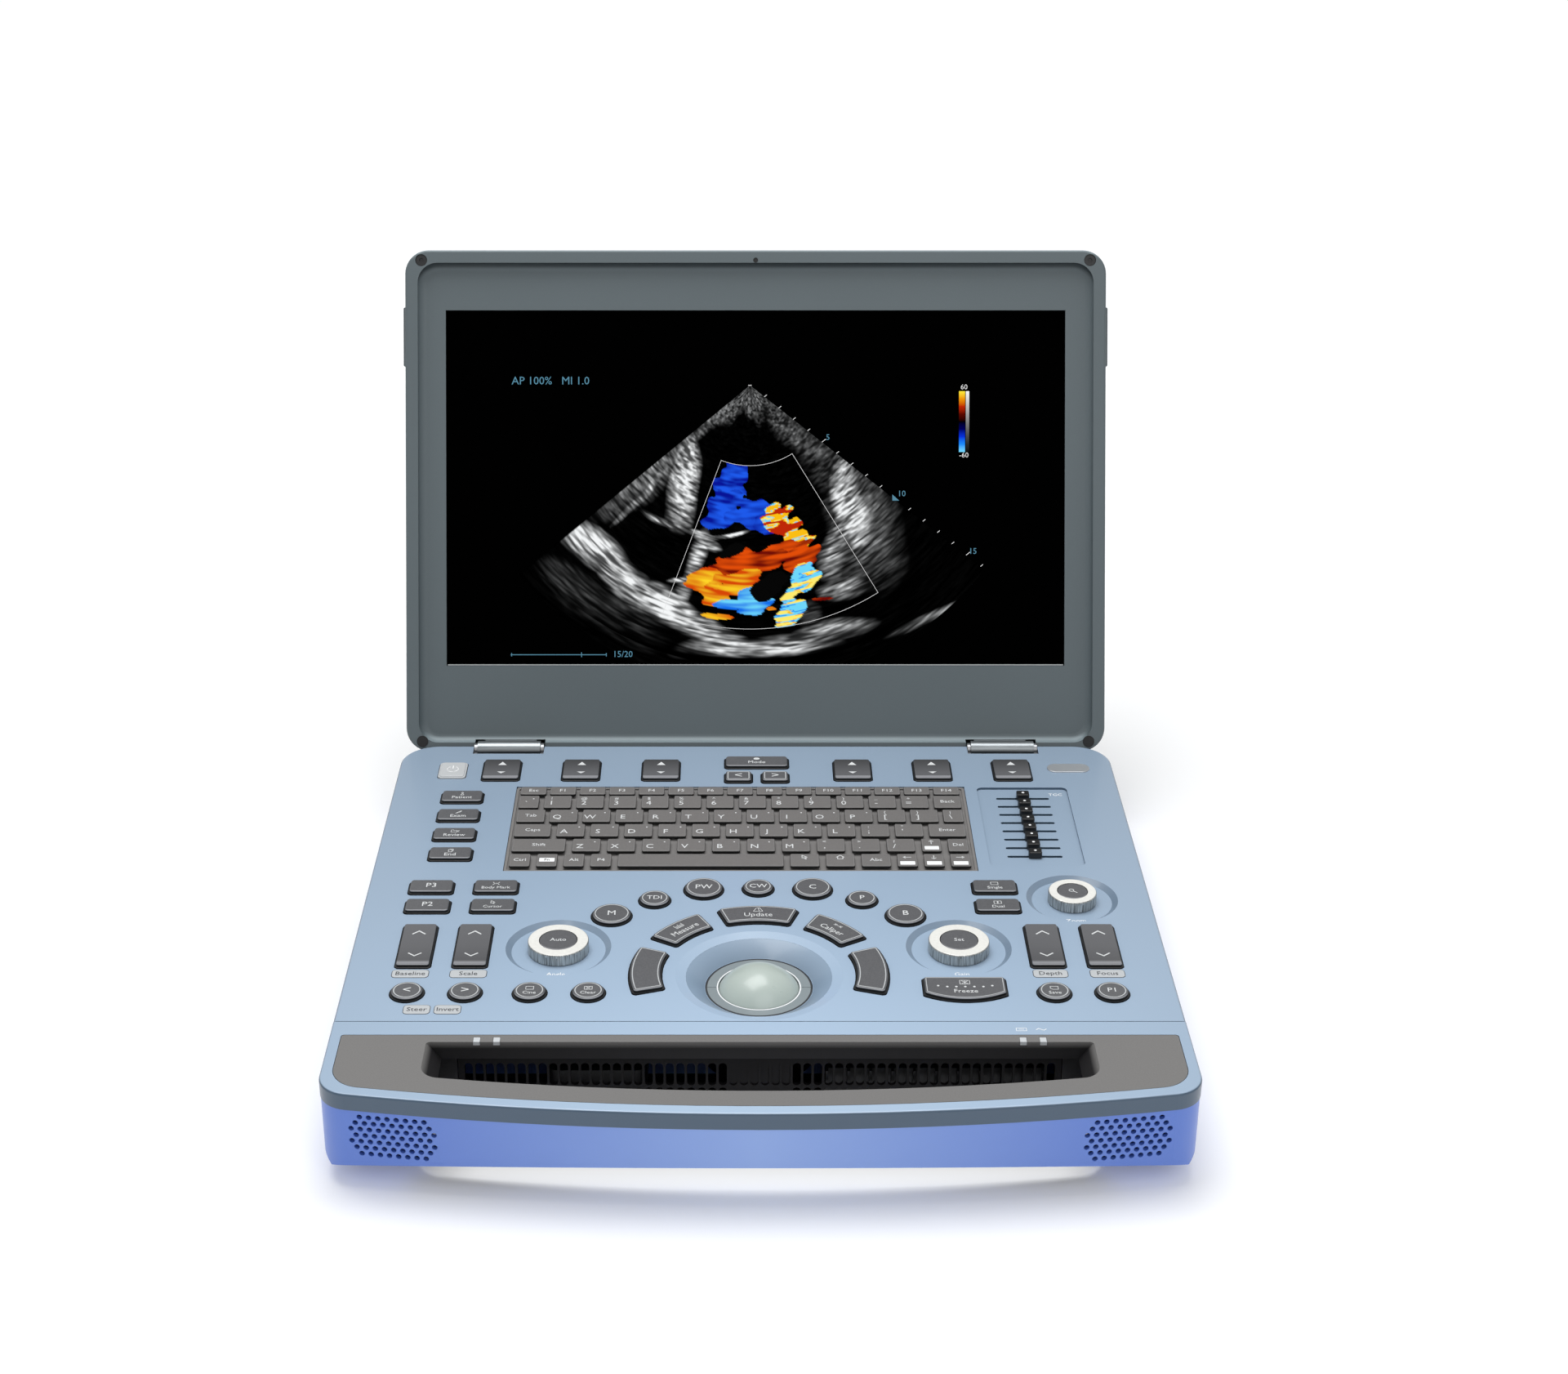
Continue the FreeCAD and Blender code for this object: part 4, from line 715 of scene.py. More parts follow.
# Line drawings, each in a square from -1 to 1
ICONS = {
    "frame": [box_line(-1, -0.7, 1, 0.7)],
    "twin": [box_line(-1, -0.7, -0.1, 0.7), box_line(0.1, -0.7, 1, 0.7)],
    "cross_frame": [box_line(-1, -0.7, 1, 0.7), [(-0.5, -0.5), (0.5, 0.5)], [(-0.5, 0.5), (0.5, -0.5)]],
    "wedge": [[(-0.35, 0.7), (0.35, 0.7), (1, -0.7), (-1, -0.7), (-0.35, 0.7)], [(0, 0.7), (0.25, -0.7)]],
    "ruler": [[(-1, -0.7), (1, -0.7)]] + [[(-1 + 0.33 * i, -0.7), (-1 + 0.33 * i, 0.1 + 0.4 * (i % 3 == 0))]
                                         for i in range(7)],
    "caliper": [[(-1, 0.3), (-0.5, -0.3)], [(-1, -0.3), (-0.5, 0.3)], [(0.5, 0.3), (1, -0.3)],
                [(0.5, -0.3), (1, 0.3)], [(-0.5, 0), (0.5, 0)]],
    "pointer": [[(-0.6, 0.9), (-0.6, -0.5), (-0.2, -0.2), (0.2, -0.9), (0.4, -0.75), (0.1, -0.1), (0.6, 0.0),
                 (-0.6, 0.9)]],
    "body": [[(-0.9, 0.7), (-0.5, 0.2), (-0.5, -0.2), (-0.9, -0.7)],
             [(0.9, 0.7), (0.5, 0.2), (0.5, -0.2), (0.9, -0.7)],
             [(-0.2, 0.2), (0.2, -0.2)], [(-0.2, -0.2), (0.2, 0.2)]],
    "person": [[(-0.3, 0.5), (0, 0.9), (0.3, 0.5), (0, 0.2), (-0.3, 0.5)],
               [(0, 0.2), (-0.5, -0.8), (0.5, -0.8), (0, 0.2)]],
    "probe": [[(-0.8, -0.8), (-0.2, 0.0), (0.2, 0.3), (0.8, 0.8), (0.5, 0.1), (0.0, -0.2), (-0.8, -0.8)]],
    "folder": [[(-1, -0.6), (0.7, -0.6), (0.7, 0.4), (-0.2, 0.4), (-0.4, 0.7), (-1, 0.7), (-1, -0.6)],
               [(0.8, 0), (1.3, 0.4)], [(0.8, 0), (1.3, -0.4)]],
    "pages": [box_line(-0.6, -0.8, 0.4, 0.5), [(-0.3, 0.8), (0.7, 0.8), (0.7, -0.4)]],
    "note": [[(-1, 0.7), (1, 0.7), (1, -0.7), (-0.4, -0.7), (-1, -0.2), (-1, 0.7)]],
    "snow": [box_line(-1, -0.7, 1, 0.7), [(-0.6, -0.5), (0.6, 0.5)], [(-0.6, 0.5), (0.6, -0.5)],
             [(0, -0.6), (0, 0.6)]],
    "lens": [[(0.2 + 0.5 * math.cos(0.52 * i) - 0.4, 0.2 + 0.5 * math.sin(0.52 * i)) for i in range(13)],
             [(0.15, -0.15), (0.9, -0.8)]],
    "battery": [box_line(-1, -0.5, 1, 0.5), [(-0.5, 0), (0.5, 0)]],
    "wave": [[(-1, -0.1), (-0.5, 0.3), (0, 0), (0.5, -0.3), (1, 0.1)]],
    "home": [[(-0.9, 0), (0, 0.9), (0.9, 0)], [(-0.6, 0), (-0.6, -0.8), (0.6, -0.8), (0.6, 0)]],
    "up": [[(0, -0.8), (0, 0.8)], [(-0.5, 0.3), (0, 0.8), (0.5, 0.3)]],
    "down": [[(0, 0.8), (0, -0.8)], [(-0.5, -0.3), (0, -0.8), (0.5, -0.3)]],
    "left": [[(0.9, 0), (-0.9, 0)], [(-0.4, 0.4), (-0.9, 0), (-0.4, -0.4)]],
    "right": [[(-0.9, 0), (0.9, 0)], [(0.4, 0.4), (0.9, 0), (0.4, -0.4)]],
}

# Flat and round function keys: place of the key (X, Y from the rear edge), icon, words, letter size
FUNCTION_LEGENDS = [
    ((-162.6, -157.8), None, "P3", 4.4), ((-162.6, -176.3), None, "P2", 4.4),
    ((-130.4, -157.8), "body", "Body Mark", 2.5), ((-130.4, -176.3), "pointer", "Cursor", 2.5),
    ((118.0, -157.8), "frame", "Single", 2.6), ((118.0, -176.3), "twin", "Dual", 2.6),
    ((-156.6, -62.4), "person", "Patient", 3.0), ((-156.6, -83.0), "probe", "Exam", 3.0),
    ((-156.6, -103.7), "folder", "Review", 3.0), ((-156.6, -124.2), "pages", "End", 3.2),
    ((0.4, -22.2), "dot", "Mode", 3.2), ((-9.5, -39.4), None, "<", 6.0), ((10.3, -39.4), None, ">", 6.0),
    ((-163.5, -254.5), None, "<", 5.6), ((-136.6, -254.5), None, ">", 5.6),
    ((-106.6, -254.5), "frame", "Cine", 2.6),
    ((-79.4, -254.5), "cross_frame", "Clear", 2.6), ((137.0, -254.5), "note", "Save", 2.6),
    ((163.8, -254.5), None, "P1", 3.8),
]
# Letters grow from their sizes in the tables by these factors
FUNCTION_GROWTH, MODE_GROWTH = 1.3, 1.35
MODE_LEGENDS = [("M", 4.4), ("TDI", 3.6), ("PW", 4.2), ("CW", 3.8), ("C", 4.2), ("P", 4.0), ("B", 4.4)]
# Keys round the ball, by the direction from its centre
SECTOR_LEGENDS = {133.3: ("Measure", "ruler"), 90.0: ("Update", "wedge"), 46.7: ("Caliper", "caliper")}
SECTOR_WORD_RADIUS, SECTOR_ICON_RADIUS = 51.6, 56.4
# Typing keys from the rear row: @ starts the name of a line drawing, ! a word on a pale box
BLANK = "~"
TYPING_ROWS = [
    "Esc " + " ".join("F%d" % i for i in range(1, 15)),
    "` 1! 2@ 3# 4$ 5% 6^ 7& 8* 9( 0) -_ =+ Back",
    "Tab Q W E R T Y U I O P [{ ]} \\|",
    "Caps A S D F G H J K L ;: '\" Enter",
    "Shift Z X C V B N M ,< .> /? @up Del",
    "Ctrl !Fn Alt P4 ~ @pointer @home Abc @left @down @right",
]
# Label plates on the panel: words, place (X, Y from the rear edge), width and depth
LABEL_PLATES = [
    ("Baseline", -164.0, -237.4, 17.0, 6.6), ("Scale", -136.7, -237.4, 17.0, 6.6),
    ("Depth", 137.1, -237.2, 16.0, 6.6), ("Focus", 163.9, -237.2, 16.0, 6.6),
    ("Steer", -157.5, -268.2, 12.0, 7.2), ("Invert", -143.3, -268.2, 12.0, 7.2),
]
PLATE_CORNER, PLATE_EDGE = 1.8, 0.3
# Words below the knobs, with their distance from the knob's middle
KNOB_WORDS = {"angle": ("Angle", 21.2), "gain": ("Gain", 21.2), "zoom": ("Zoom", 18.6)}


def middle(box):
    """Middle of a box across and along, in millimetres."""
    return (box[0].x + box[1].x) / 2 / MM, (box[0].y + box[1].y) / 2 / MM


def blank_legend(node):
    """Sheet for a CAD node's legend, and the middle of the node, in millimetres."""
    return (Sheet(Ground(node)), *middle(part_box(node)))


def from_rear(y):
    """Y of the model, in millimetres, for a distance from the panel's rear edge."""
    return y + REAR_EDGE_Y / MM


def function_legends():
    """Icons and words on the flat and the small round keys."""
    icon_size, icon_rise, dot_radius, dot_rise, dot_squash = 3.6, 1.7, 1.7, 2.4, 0.7
    ink = Sheet(Ground("function_keys"))
    for (x, y), mark, words, size in FUNCTION_LEGENDS:
        y = from_rear(y)
        drop = 0.0
        if mark == "dot":
            ink.disc(x, y + dot_rise, dot_radius, 24, dot_squash)
            drop = 1.6
        elif mark:
            ink.icon(mark, x, y + icon_rise, icon_size)
            drop = 2.2
        ink.word(words, x, y - drop, FUNCTION_GROWTH * size)
    ink.legend("function_keys")


def mode_legends():
    """Letters on the mode keys."""
    ink = Sheet(Ground("mode_keys"))
    for solid, (words, size) in zip(sorted(islands("mode_keys")[0], key=lambda s: s[0].x), MODE_LEGENDS):
        ink.word(words, *middle(solid), MODE_GROWTH * size)
    ink.legend("mode_keys")


def sector_legends():
    """Words and line drawings on the keys round the ball, turned to face its centre."""
    ink = Sheet(Ground("sector_keys"))
    ball = Vector(JOINTS["trackball_roll"]["pos_m"]) / MM
    for direction, (words, mark) in SECTOR_LEGENDS.items():
        angle = math.radians(direction)
        across, along, turn = math.cos(angle), math.sin(angle), angle - math.pi / 2
        for draw, what, reach, size in ((ink.word, words, SECTOR_WORD_RADIUS, 4.8),
                                        (ink.icon, mark, SECTOR_ICON_RADIUS, 4.6)):
            draw(what, ball.x + reach * across, ball.y + reach * along, size, turn=turn)
    ink.legend("sector_keys")


def freeze_legend():
    """Line drawing, row of dots and word on the freeze key."""
    ink, x, y = blank_legend("freeze_key")
    ink.icon("snow", x, y + 4.4, 4.6)
    dots, pitch, radius = 7, 4.2, 0.6
    for i in range(dots):
        rise = 0.6 if 0 < i < dots - 1 else 1.4
        ink.disc(x + pitch * (i - (dots - 1) / 2), y + rise, radius, 12)
    ink.word("Freeze", x, y - 3.2, 4.2)
    ink.legend("freeze_key")


def chevrons():
    """Chevrons at both ends of the tall rockers."""
    half, rise = 3.0, 1.3
    for node in ("baseline_rocker", "scale_rocker", "depth_rocker", "focus_rocker"):
        ink, x, y = blank_legend(node)
        for way, place in ((1, 10.8), (-1, -9.2)):
            foot, tip = y + place - way * rise, y + place + way * rise
            ink.stroke([(x - half, foot), (x, tip), (x + half, foot)], 0.7)
        ink.legend(node)


def triangles():
    """Triangles at both ends of the soft-key rockers."""
    ink = Sheet(Ground("soft_rockers"))
    for solid in islands("soft_rockers")[0]:
        x, y = middle(solid)
        for shape in (((-2.3, 4.6), (2.3, 4.6), (0, 8.0)), ((-2.2, -3.0), (0, -5.2), (2.2, -3.0))):
            ink.prism([((x + dx) * MM, (y + dy) * MM) for dx, dy in shape])
    ink.legend("soft_rockers")


def power_sign():
    """Open ring with an upright bar on the power key."""
    ink, x, y = blank_legend("power_key")
    radius, width = 3.0, 0.55
    arc = [math.radians(125 + 290 * i / 20) for i in range(21)]
    ink.stroke([(x + radius * math.cos(a), y + radius * math.sin(a)) for a in arc], width)
    ink.stroke([(x, y + 0.8), (x, y + 3.8)], width)
    ink.legend("power_key", "ink_white")


def button_legends():
    """Words and a lens on the buttons in the knobs."""
    for node, words in (("angle_button", "Auto"), ("gain_button", "Set"), ("zoom_button", None)):
        ink, x, y = blank_legend(node)
        if words:
            ink.word(words, x, y, 3.8)
        else:
            ink.icon("lens", x, y, 4.6, 0.45)
        ink.legend(node)


def typing_legend(text, x, y, left, right, sheets):
    """Letter, figure or sign on one typing key."""
    ink, boxes, dark = sheets
    inset, box_margin = 3.9, 2.6
    box_width = right - left - box_margin
    if text.startswith("@"):
        mark = text[1:]
        ink.icon(mark, x, y + 2.6, 4.4, 0.4)
        if mark in ("up", "down", "left", "right"):
            boxes.plate(x, y - 3.3, box_width, 3.6, 0.4)
    elif text.startswith("!"):
        boxes.plate(x, y, box_width, 3.8, 0.4)
        dark.word(text[1:], x, y, 3.0)
    elif len(text) > 2 or text[0] == "F" and len(text) > 1 or text == "P4":
        ink.word(text, x, y, min(4.0, 1.6 * (right - left) / max(2, len(text))))
    elif text != BLANK:
        ink.word(text[0], left + inset, y - 1.7, 6.0)
        if len(text) == 2:
            ink.word(text[1], left + inset, y + 3.2, 3.6)
        else:
            ink.disc(right - 3.0, y + 3.0, 0.45, 10)


def typing_legends():
    """Letters, figures and signs on the typing keys."""
    ground = Ground("keyboard_keys")
    sheets = ink, boxes, dark = Sheet(ground), Sheet(ground), Sheet(ground, DARK_LIFT)
    for row, legends in zip(in_rows(islands("keyboard_keys")[0]), TYPING_ROWS):
        for solid, text in zip(row, legends.split()):
            typing_legend(text, *middle(solid), solid[0].x / MM, solid[1].x / MM, sheets)
    ink.piece("keyboard_legend", "keyboard_keys")
    boxes.piece("keyboard_sign_boxes", "keyboard_keys", "ink_white")
    dark.piece("keyboard_dark_legend", "keyboard_keys", "ink_dark", "key_grey")


def slider_dots():
    """White index dot on each slider cap."""
    for i in range(1, 9):
        node = "gain_slider_%d" % i
        ink, x, y = blank_legend(node)
        ink.disc(x, y, 0.7, 16)
        ink.piece(node + "_dot", node, "ink_white")


def panel_labels():
    """Label plates and printed words on the control panel."""
    ground = Ground("top_cover", "handle_frame", "handle_trim")
    plates, dark = Sheet(ground, PLATE_LIFT), Sheet(ground, WORD_LIFT)
    light, edges = Sheet(ground), Sheet(ground)
    for words, x, y, width, depth in LABEL_PLATES:
        y = from_rear(y)
        loop = rounded(x * MM, y * MM, width * MM, depth * MM, PLATE_CORNER * MM)
        plates.prism(loop)
        edges.band([p + Vector((0, 0, ground(p.x, p.y))) for p in loop], PLATE_EDGE * MM, 0.0)
        dark.word(words, x, y, 4.4)
    for knob, (words, reach) in KNOB_WORDS.items():
        x, y = middle(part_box(knob + "_knob"))
        light.word(words, x, y - reach, 3.9)
    lamp_row = from_rear(-284.6)
    light.icon("battery", 118.6, lamp_row, 4.6)
    light.icon("wave", 127.6, lamp_row, 4.6, 0.4)
    light.word("TGC", 160.0, from_rear(-56.0), 3.6)
    plates.piece("label_plates", "base", "pad")
    edges.piece("label_plate_edges", "base", "ink_dark", "key_grey")
    dark.piece("label_words", "base", "ink_dark", "key_grey")
    light.piece("panel_words", "base", "ink_white")


# ---- the picture on the display

# Fan and colour box, in millimetres from the middle of the display's foot and in degrees off straight down
APEX = Vector((-3.1, 155.8))
FAN_LEFT, FAN_RIGHT, FAN_DEPTH = -50.8, 51.8, 166.0
BOX_LEFT, BOX_RIGHT, BOX_NEAR, BOX_FAR = -21.0, 31.8, 44.6, 135.5
SCALE_TOP, SCALE_HEIGHT = 152.6, 33.8
TICKS, TICK_PITCH = 16, 10.2
# Heights of the picture and of what is drawn over it, above the glass
PICTURE_LIFT, MARK_LIFT = 0.05, 0.06

# Bright tissue: centre across and up the screen, half length, half width, turn in degrees, brightness
TISSUE = [
    (-40.7, 106.0, 25, 6.0, 84, 0.85), (-63.0, 106.0, 27, 8.0, 42, 0.34), (-92.0, 68.0, 18, 7.0, -30, 0.95),
    (-74.0, 51.0, 20, 6.0, -45, 0.9), (-49.6, 34.0, 22, 5.5, -32, 0.95), (-22.9, 18.5, 24, 5.5, -22, 0.8),
    (-0.6, 10.5, 34, 5.0, 2, 0.75), (37.2, 17.4, 22, 4.0, 12, 0.5), (51.6, 90.8, 22, 7.0, -80, 0.85),
    (45.0, 68.5, 16, 6.0, 80, 0.5), (59.4, 81.9, 32, 15, -75, 0.26), (48.3, 44.1, 12, 5.5, 15, 0.5),
    (-2.9, 147.0, 9, 7.0, 0, 0.3), (24.0, 129.5, 30, 7.0, -40, 0.24), (-20.7, 138.0, 20, 3.5, 40, 0.3),
    (-34.0, 62.0, 13, 3.6, 70, 0.75), (-39.6, 42.0, 12, 3.4, 65, 0.45), (-42.9, 46.3, 6, 0.9, 0, 0.8),
    (96.1, 27.4, 22, 1.8, 24, 0.34), (-100.0, 42.0, 22, 8.0, -35, 0.12), (-76.0, 32.0, 26, 10, -32, 0.10),
    (40.0, 112.0, 26, 9.0, -50, 0.16), (-63.0, 96.0, 18, 1.6, 48, 0.5), (-50.0, 80.0, 13, 1.4, -32, 0.55),
    (-31.0, 73.3, 9, 1.2, -8, 0.8), (-14.0, 73.2, 10, 0.9, 2, 0.95), (-28.0, 68.0, 8, 3.0, -25, 0.7),
    (28.0, 28.0, 6, 5.0, 60, 0.22),
]
# Flow: kind, centre, half length, half width, turn
FLOW = [
    ("blue", -14.0, 99.5, 14, 8.5, 84), ("blue", -18.5, 86.0, 11, 8.0, 60), ("blue", -1.5, 84.0, 11, 7.5, 0),
    ("blue", 7.0, 80.0, 8, 6.0, 0), ("mosaic", 17.2, 78.5, 13, 7.0, -32),
    ("mosaic", 26.0, 72.0, 7, 3.5, -70),
    ("red", 9.5, 62.0, 21, 5.0, 12), ("red", 26.0, 60.0, 10, 6.0, 30), ("red", -5.0, 56.0, 20, 7.0, 14),
    ("gold", -26.0, 44.0, 11, 8.5, 0), ("gold", -9.0, 47.0, 14, 6.0, 14), ("cyan", 0.5, 35.0, 9, 6.8, 0),
    ("cyan", -12.0, 34.0, 9, 2.2, 0), ("strip", 27.5, 47.0, 10, 6.2, 72), ("strip", 19.5, 33.0, 12, 6.4, 62),
    ("gold", -21.0, 27.2, 8, 1.4, -6), ("red", 38.0, 37.2, 6, 0.8, 4), ("gold", 9.0, 31.5, 4, 1.8, 0),
]
# Vessels without flow inside the flow, drawn dark
SHADOWS = [(8.0, 44.5, 11, 6.5, 35), (-13.5, 64.0, 7, 3.5, 20), (-6.0, 94.0, 1.0, 1.0, 0),
           (-9.5, 88.0, 1.2, 1.0, 0)]
# Colours of each kind of flow from its dark to its bright end, and of the mixed kinds in their steps
FLOW_TINTS = {"blue": ((8, 20, 150), (30, 90, 235)), "red": ((110, 12, 6), (226, 78, 10)),
              "gold": ((214, 70, 8), (255, 214, 40)), "cyan": ((20, 110, 235), (110, 215, 250))}
STEP_TINTS = [(190, 40, 8), (250, 190, 20), (255, 235, 110), (110, 215, 250), (40, 140, 240)]
STEP_ORDER = {"mosaic": [0, 1, 2, 3, 1], "strip": [3, 4, 3, 1, 2]}


def blurred(rng, shape, spread):
    """Random field smoothed along both axes, scaled to 0-1 with a mean of 0.5."""
    field = np.fft.rfft2(rng.standard_normal(shape))
    rows = np.exp(-2 * (math.pi * np.fft.fftfreq(shape[0]) * spread[0]) ** 2)
    columns = np.exp(-2 * (math.pi * np.fft.rfftfreq(shape[1]) * spread[1]) ** 2)
    field = np.fft.irfft2(field * rows[:, None] * columns[None, :], shape)
    return np.clip(0.5 + 0.22 * field / field.std(), 0, 1)


def ellipse(x, y, cx, cy, length, width, turn):
    """1 at the centre of an ellipse, 0 on its edge and negative outside."""
    cos, sin = math.cos(math.radians(turn)), math.sin(math.radians(turn))
    along = (x - cx) * cos + (y - cy) * sin
    across = (y - cy) * cos - (x - cx) * sin
    return 1 - (along / length) ** 2 - (across / width) ** 2


def display_tint(red, green, blue):
    """Colour of a picture point."""
    return np.array(linear(red, green, blue)[:3])


def echo_picture(x, y, angle, depth, rng):
    """Colour of the ultrasound picture at every point of the fan."""
    shape = x.shape
    streak = blurred(rng, shape, (4.0, 0.8))
    grain = blurred(rng, shape, (1.6, 0.7))
    cloud = blurred(rng, shape, (16.0, 16.0))
    grey = 0.012 * np.ones(shape)
    warp_x = x + 7 * (cloud - 0.5)
    warp_y = y + 7 * (blurred(rng, shape, (14.0, 14.0)) - 0.5)
    for cx, cy, length, width, turn, level in TISSUE:
        inside = ellipse(warp_x, warp_y, cx, cy, 1.45 * length, 1.7 * width, turn)
        grey = np.maximum(grey, level * np.clip(inside, 0, 1) ** 1.1)
    speckle = np.clip(1.9 * streak - 0.35, 0, 1.4) * (0.55 + 0.9 * grain)
    grey = np.clip(grey * (0.3 + 1.0 * speckle), 0, 1) ** 1.7
    picture = grey[..., None] * np.array([0.92, 0.94, 0.95])
    boxed = (angle > BOX_LEFT) & (angle < BOX_RIGHT) & (depth > BOX_NEAR) & (depth < BOX_FAR)
    rough = blurred(rng, shape, (5.0, 3.0)) - 0.5
    band = blurred(rng, shape, (7.0, 1.2))
    hue = blurred(rng, shape, (5.0, 2.0))
    for kind, cx, cy, length, width, turn in FLOW:
        field = ellipse(x, y, cx, cy, 1.1 * length, 1.1 * width, turn) + 1.7 * rough
        inside = boxed & (field > 0)
        if kind in FLOW_TINTS:
            cold, warm = (display_tint(*tint) for tint in FLOW_TINTS[kind])
            t = np.clip(0.5 + 1.6 * (band - 0.5) + 0.35 * (field - 0.4), 0, 1)[..., None]
            tint = cold * (1 - t) + warm * t
        else:
            levels = np.clip(0.5 + 3.0 * (band - 0.5) + 1.2 * (hue - 0.5), 0, 0.999)
            steps = np.array([display_tint(*STEP_TINTS[i]) for i in STEP_ORDER[kind]])
            tint = steps[(levels * len(steps)).astype(int)]
        picture = np.where(inside[..., None], tint, picture)
    for cx, cy, length, width, turn in SHADOWS:
        dark = ellipse(x, y, cx, cy, length, width, turn) + 1.1 * rough > 0
        picture = np.where((dark & boxed)[..., None], 0.002, picture)
    fade = np.clip((151.5 + 3.0 * np.abs(angle) / 20 - depth) / 4.0, 0, 1)
    return picture * np.maximum(fade, depth > 156)[..., None] * (angle > FAN_LEFT)[..., None]


def display_mesh(name, points, faces, colours):
    """Flat mesh on the display with one colour per point."""
    mesh = bpy.data.meshes.new(name)
    spots = [lid_point(x * MM, y * MM + SCREEN_UP, SCREEN_BACK - z * MM) for x, y, z in points]
    mesh.from_pydata([tuple(spot) for spot in spots], [], faces)
    layer = mesh.color_attributes.new("picture", "FLOAT_COLOR", "POINT")
    layer.data.foreach_set("color", np.column_stack([colours, np.ones(len(colours))]).ravel())
    mesh.materials.append(MATERIALS["picture"])
    made = put(name, mesh)
    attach(made, "lid")


def ultrasound_picture():
    """The fan-shaped picture, and the colour and grey scales beside it."""
    across, down = 300, 330
    angles = np.linspace(FAN_LEFT, FAN_RIGHT, across)
    depths = np.linspace(0.8, FAN_DEPTH, down)
    angle, depth = np.meshgrid(angles, depths, indexing="ij")
    x = APEX.x + depth * np.sin(np.radians(angle))
    y = APEX.y - depth * np.cos(np.radians(angle))
    colours = echo_picture(x, y, angle, depth, np.random.default_rng(11))
    keep = y > 1.0
    number = np.arange(across * down).reshape(across, down)
    faces = [(number[i, j], number[i, j + 1], number[i + 1, j + 1], number[i + 1, j])
             for i in range(across - 1) for j in range(down - 1) if keep[i, j] and keep[i + 1, j + 1]]
    used = np.unique(faces)
    lookup = {int(v): k for k, v in enumerate(used)}
    points = np.column_stack([x.ravel(), y.ravel(), np.full(x.size, PICTURE_LIFT)])[used]
    display_mesh("display_picture", points, [tuple(lookup[int(v)] for v in face) for face in faces],
                 colours.reshape(-1, 3)[used])
    stops = [(255, 235, 60), (240, 150, 10), (190, 40, 5), (90, 10, 0), (0, 0, 0), (0, 0, 90), (10, 50, 220),
             (30, 140, 250), (120, 220, 255)]
    points, faces, colours = [], [], []
    greys = [(250 - 30 * i,) * 3 for i in range(len(stops))]
    for left, right, ramp in ((113.2, 116.6, stops), (117.0, 118.9, greys)):
        for i, colour in enumerate(ramp):
            for x_side in (left, right):
                points.append((x_side, SCALE_TOP - i * SCALE_HEIGHT / (len(ramp) - 1), PICTURE_LIFT))
                colours.append(display_tint(*colour))
            if i:
                n = len(points)
                faces.append((n - 4, n - 3, n - 1, n - 2))
    display_mesh("display_scales", points, faces, np.array(colours))


def fan_point(angle, depth):
    """Point on the display from an angle off straight down and a depth."""
    return (APEX.x + depth * math.sin(math.radians(angle)), APEX.y - depth * math.cos(math.radians(angle)))


def display_marks():
    """Lines, ticks and figures drawn over the picture."""
    white, teal = Sheet(lift=MARK_LIFT), Sheet(lift=MARK_LIFT)
    for angle in (BOX_LEFT, BOX_RIGHT):
        white.stroke([fan_point(angle, BOX_NEAR), fan_point(angle, BOX_FAR)], 0.22)
    for depth in (BOX_NEAR, BOX_FAR):
        sweep = [BOX_LEFT + (BOX_RIGHT - BOX_LEFT) * i / 24 for i in range(25)]
        white.stroke([fan_point(angle, depth) for angle in sweep], 0.22)
    for i in range(1, TICKS + 1):
        length = 2.6 if i % 5 == 0 else 1.6
        x, y = fan_point(FAN_RIGHT + 0.15, TICK_PITCH * i)
        if i != 10:
            white.stroke([(x, y), (x + 0.78 * length, y + 0.62 * length)], 0.34)
    white.stroke([(APEX.x - 0.8, APEX.y), (APEX.x + 0.8, APEX.y)], 0.4)
    for words, x, y in (("60", 116.0, 154.8), ("-60", 116.0, 117.0)):
        white.word(words, x, y, 4.0)
    teal.word("AP 100%   MI 1.0", -114.0, 158.2, 6.2)
    for words, x, y in (("5", 40.3, 126.9), ("10", 81.4, 95.6), ("15", 121.1, 63.6)):
        teal.word(words, x, y, 4.6)
    bar, width = 6.0, 0.42
    teal.stroke([(-136.4, bar), (-83.2, bar)], width)
    for x, reach in ((-136.0, 0.8), (-97.0, 1.2), (-83.2, 0.8)):
        teal.stroke([(x, bar - reach), (x, bar + reach)], width)
    teal.word("15/20", -74.0, 6.2, 4.9)
    teal.prism([(76.2 * MM, 95.2 * MM), (76.2 * MM, 91.8 * MM), (80.0 * MM, 91.8 * MM)])
    for sheet, name, ink in ((white, "display_lines", "glow_white"), (teal, "display_figures", "glow_teal")):
        sheet.on_lid()
        sheet.piece(name, "lid", ink, "screen_glass")


def screen_sill_highlight():
    """Painted highlight: a thin light line along the foot of the display."""
    sill = Sheet(lift=0.1)
    half = (SCREEN_HIGH[0] - SCREEN_LOW[0]) / 2 / MM - 0.6
    sill.stroke([(-half, 0.35), (half, 0.35)], 0.5)
    sill.on_lid()
    sill.piece("screen_sill_highlight", "lid", "outline")


# ---- lights, floor and camera

CAMERA_PLACE = (-0.0105, REAR_EDGE_Y - 1.2529, PANEL_Z + 0.6347)
CAMERA_DIP = 25.54
FLOOR_HALF = 30.0
# The floor glows a little, less under the scanner than far from it
GLOW_REACH, GLOW_AROUND, GLOW_BELOW = 2.6, 0.46, 0.13
SURROUND = 0.54


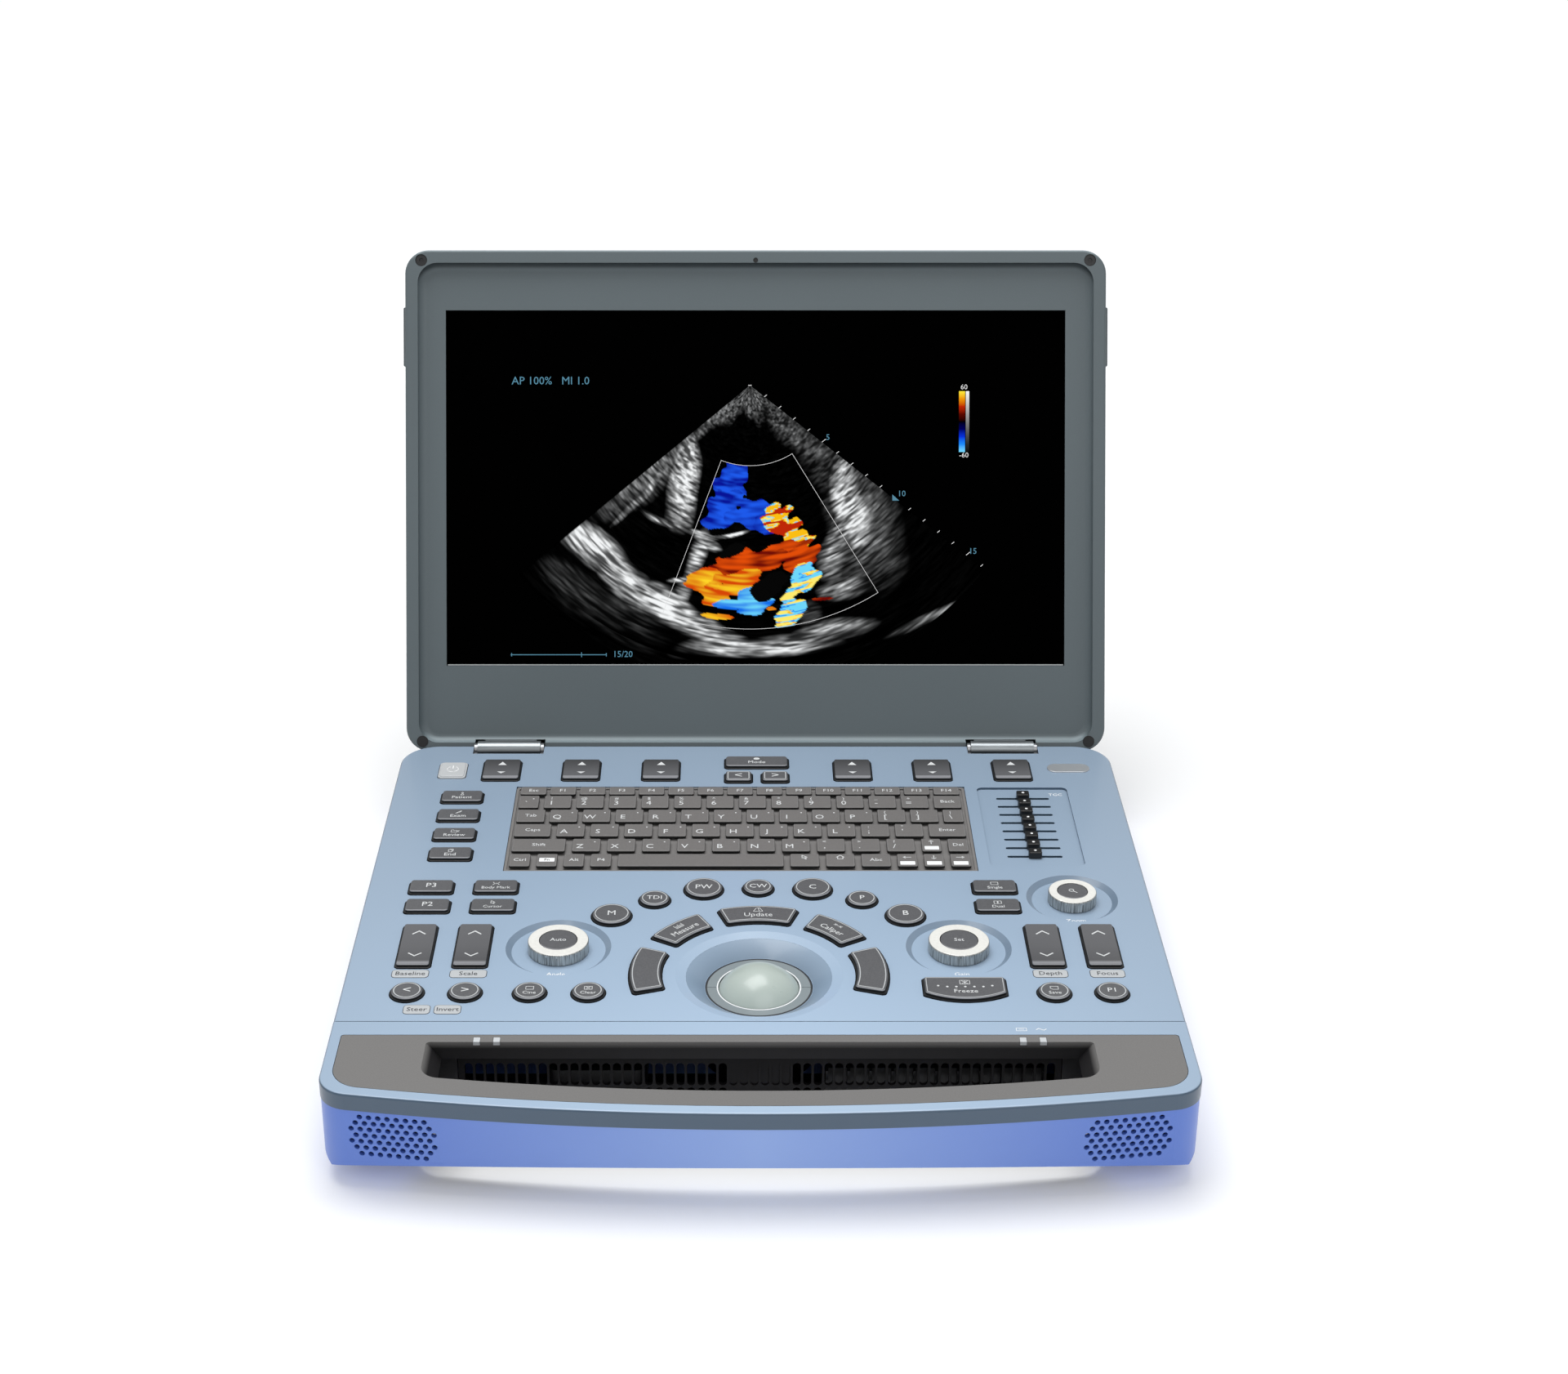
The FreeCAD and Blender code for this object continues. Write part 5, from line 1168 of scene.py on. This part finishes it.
def camera():
    """Camera in front of and above the scanner, looking down at its keys."""
    data = bpy.data.cameras.new("camera")
    data.sensor_width = 36.0
    data.lens = 58.1
    data.shift_x = 0.0302
    data.clip_end = 50.0
    made = put("camera", data)
    made.location = CAMERA_PLACE
    made.rotation_euler = (math.radians(90.0 - CAMERA_DIP), 0.0, 0.0)
    bpy.context.scene.camera = made


def area_light(name, place, target, size, power):
    """Soft rectangular light aimed at a point."""
    data = bpy.data.lights.new(name, "AREA")
    data.shape = "RECTANGLE"
    data.size, data.size_y = size
    data.energy = power
    made = put(name, data)
    made.location = place
    made.rotation_euler = (Vector(target) - Vector(place)).to_track_quat("-Z", "Y").to_euler()


def floor():
    """Pale floor."""
    mesh = bpy.data.meshes.new("floor")
    square = [(-1, -1), (1, -1), (1, 1), (-1, 1)]
    mesh.from_pydata([(x * FLOOR_HALF, y * FLOOR_HALF, 0) for x, y in square], [], [(0, 1, 2, 3)])
    finish = Finish("floor_pale", 0.55)
    tone = finish.noise(2.0)
    finish.colour(finish.ramp(tone, [(0.3, linear(236, 237, 238)), (0.7, linear(240, 241, 242))]))
    around = finish.near((0.0, 0.0, 0.0), (GLOW_REACH, GLOW_REACH, None))
    white = (1.0, 1.0, 1.0, 1.0)
    finish.give("Emission Color", finish.tones(around, white, (0.0, GLOW_AROUND), (0.78, GLOW_BELOW)))
    finish.give("Emission Strength", 1.0)
    mesh.materials.append(finish.material)
    put("floor", mesh)


def lighting():
    """Two soft lights and a pale surround."""
    world = bpy.data.worlds.new("surround")
    world.use_nodes = True
    background = world.node_tree.nodes["Background"]
    background.inputs["Color"].default_value = (1.0, 1.0, 1.0, 1.0)
    background.inputs["Strength"].default_value = SURROUND
    bpy.context.scene.world = world
    area_light("key_light", place=(-0.2, 0.32, 2.1), target=(0, -0.05, 0.05), size=(1.6, 1.3), power=32.0)
    area_light("fill_light", place=(0.5, -1.5, 1.6), target=(0, 0, 0.1), size=(1.6, 1.2), power=7.0)
    bpy.context.scene.view_settings.view_transform = "Standard"
MATERIALS = build_materials()
SCREEN_LOW, SCREEN_HIGH = lid_extent("screen_glass")
SCREEN_UP, SCREEN_BACK = SCREEN_LOW[1], SCREEN_LOW[2]
camera()
floor()
lighting()
dress_cad(MATERIALS)
outlines()
ball_lines()
function_legends()
mode_legends()
sector_legends()
freeze_legend()
chevrons()
triangles()
power_sign()
button_legends()
typing_legends()
slider_dots()
panel_labels()
ultrasound_picture()
display_marks()
screen_sill_highlight()
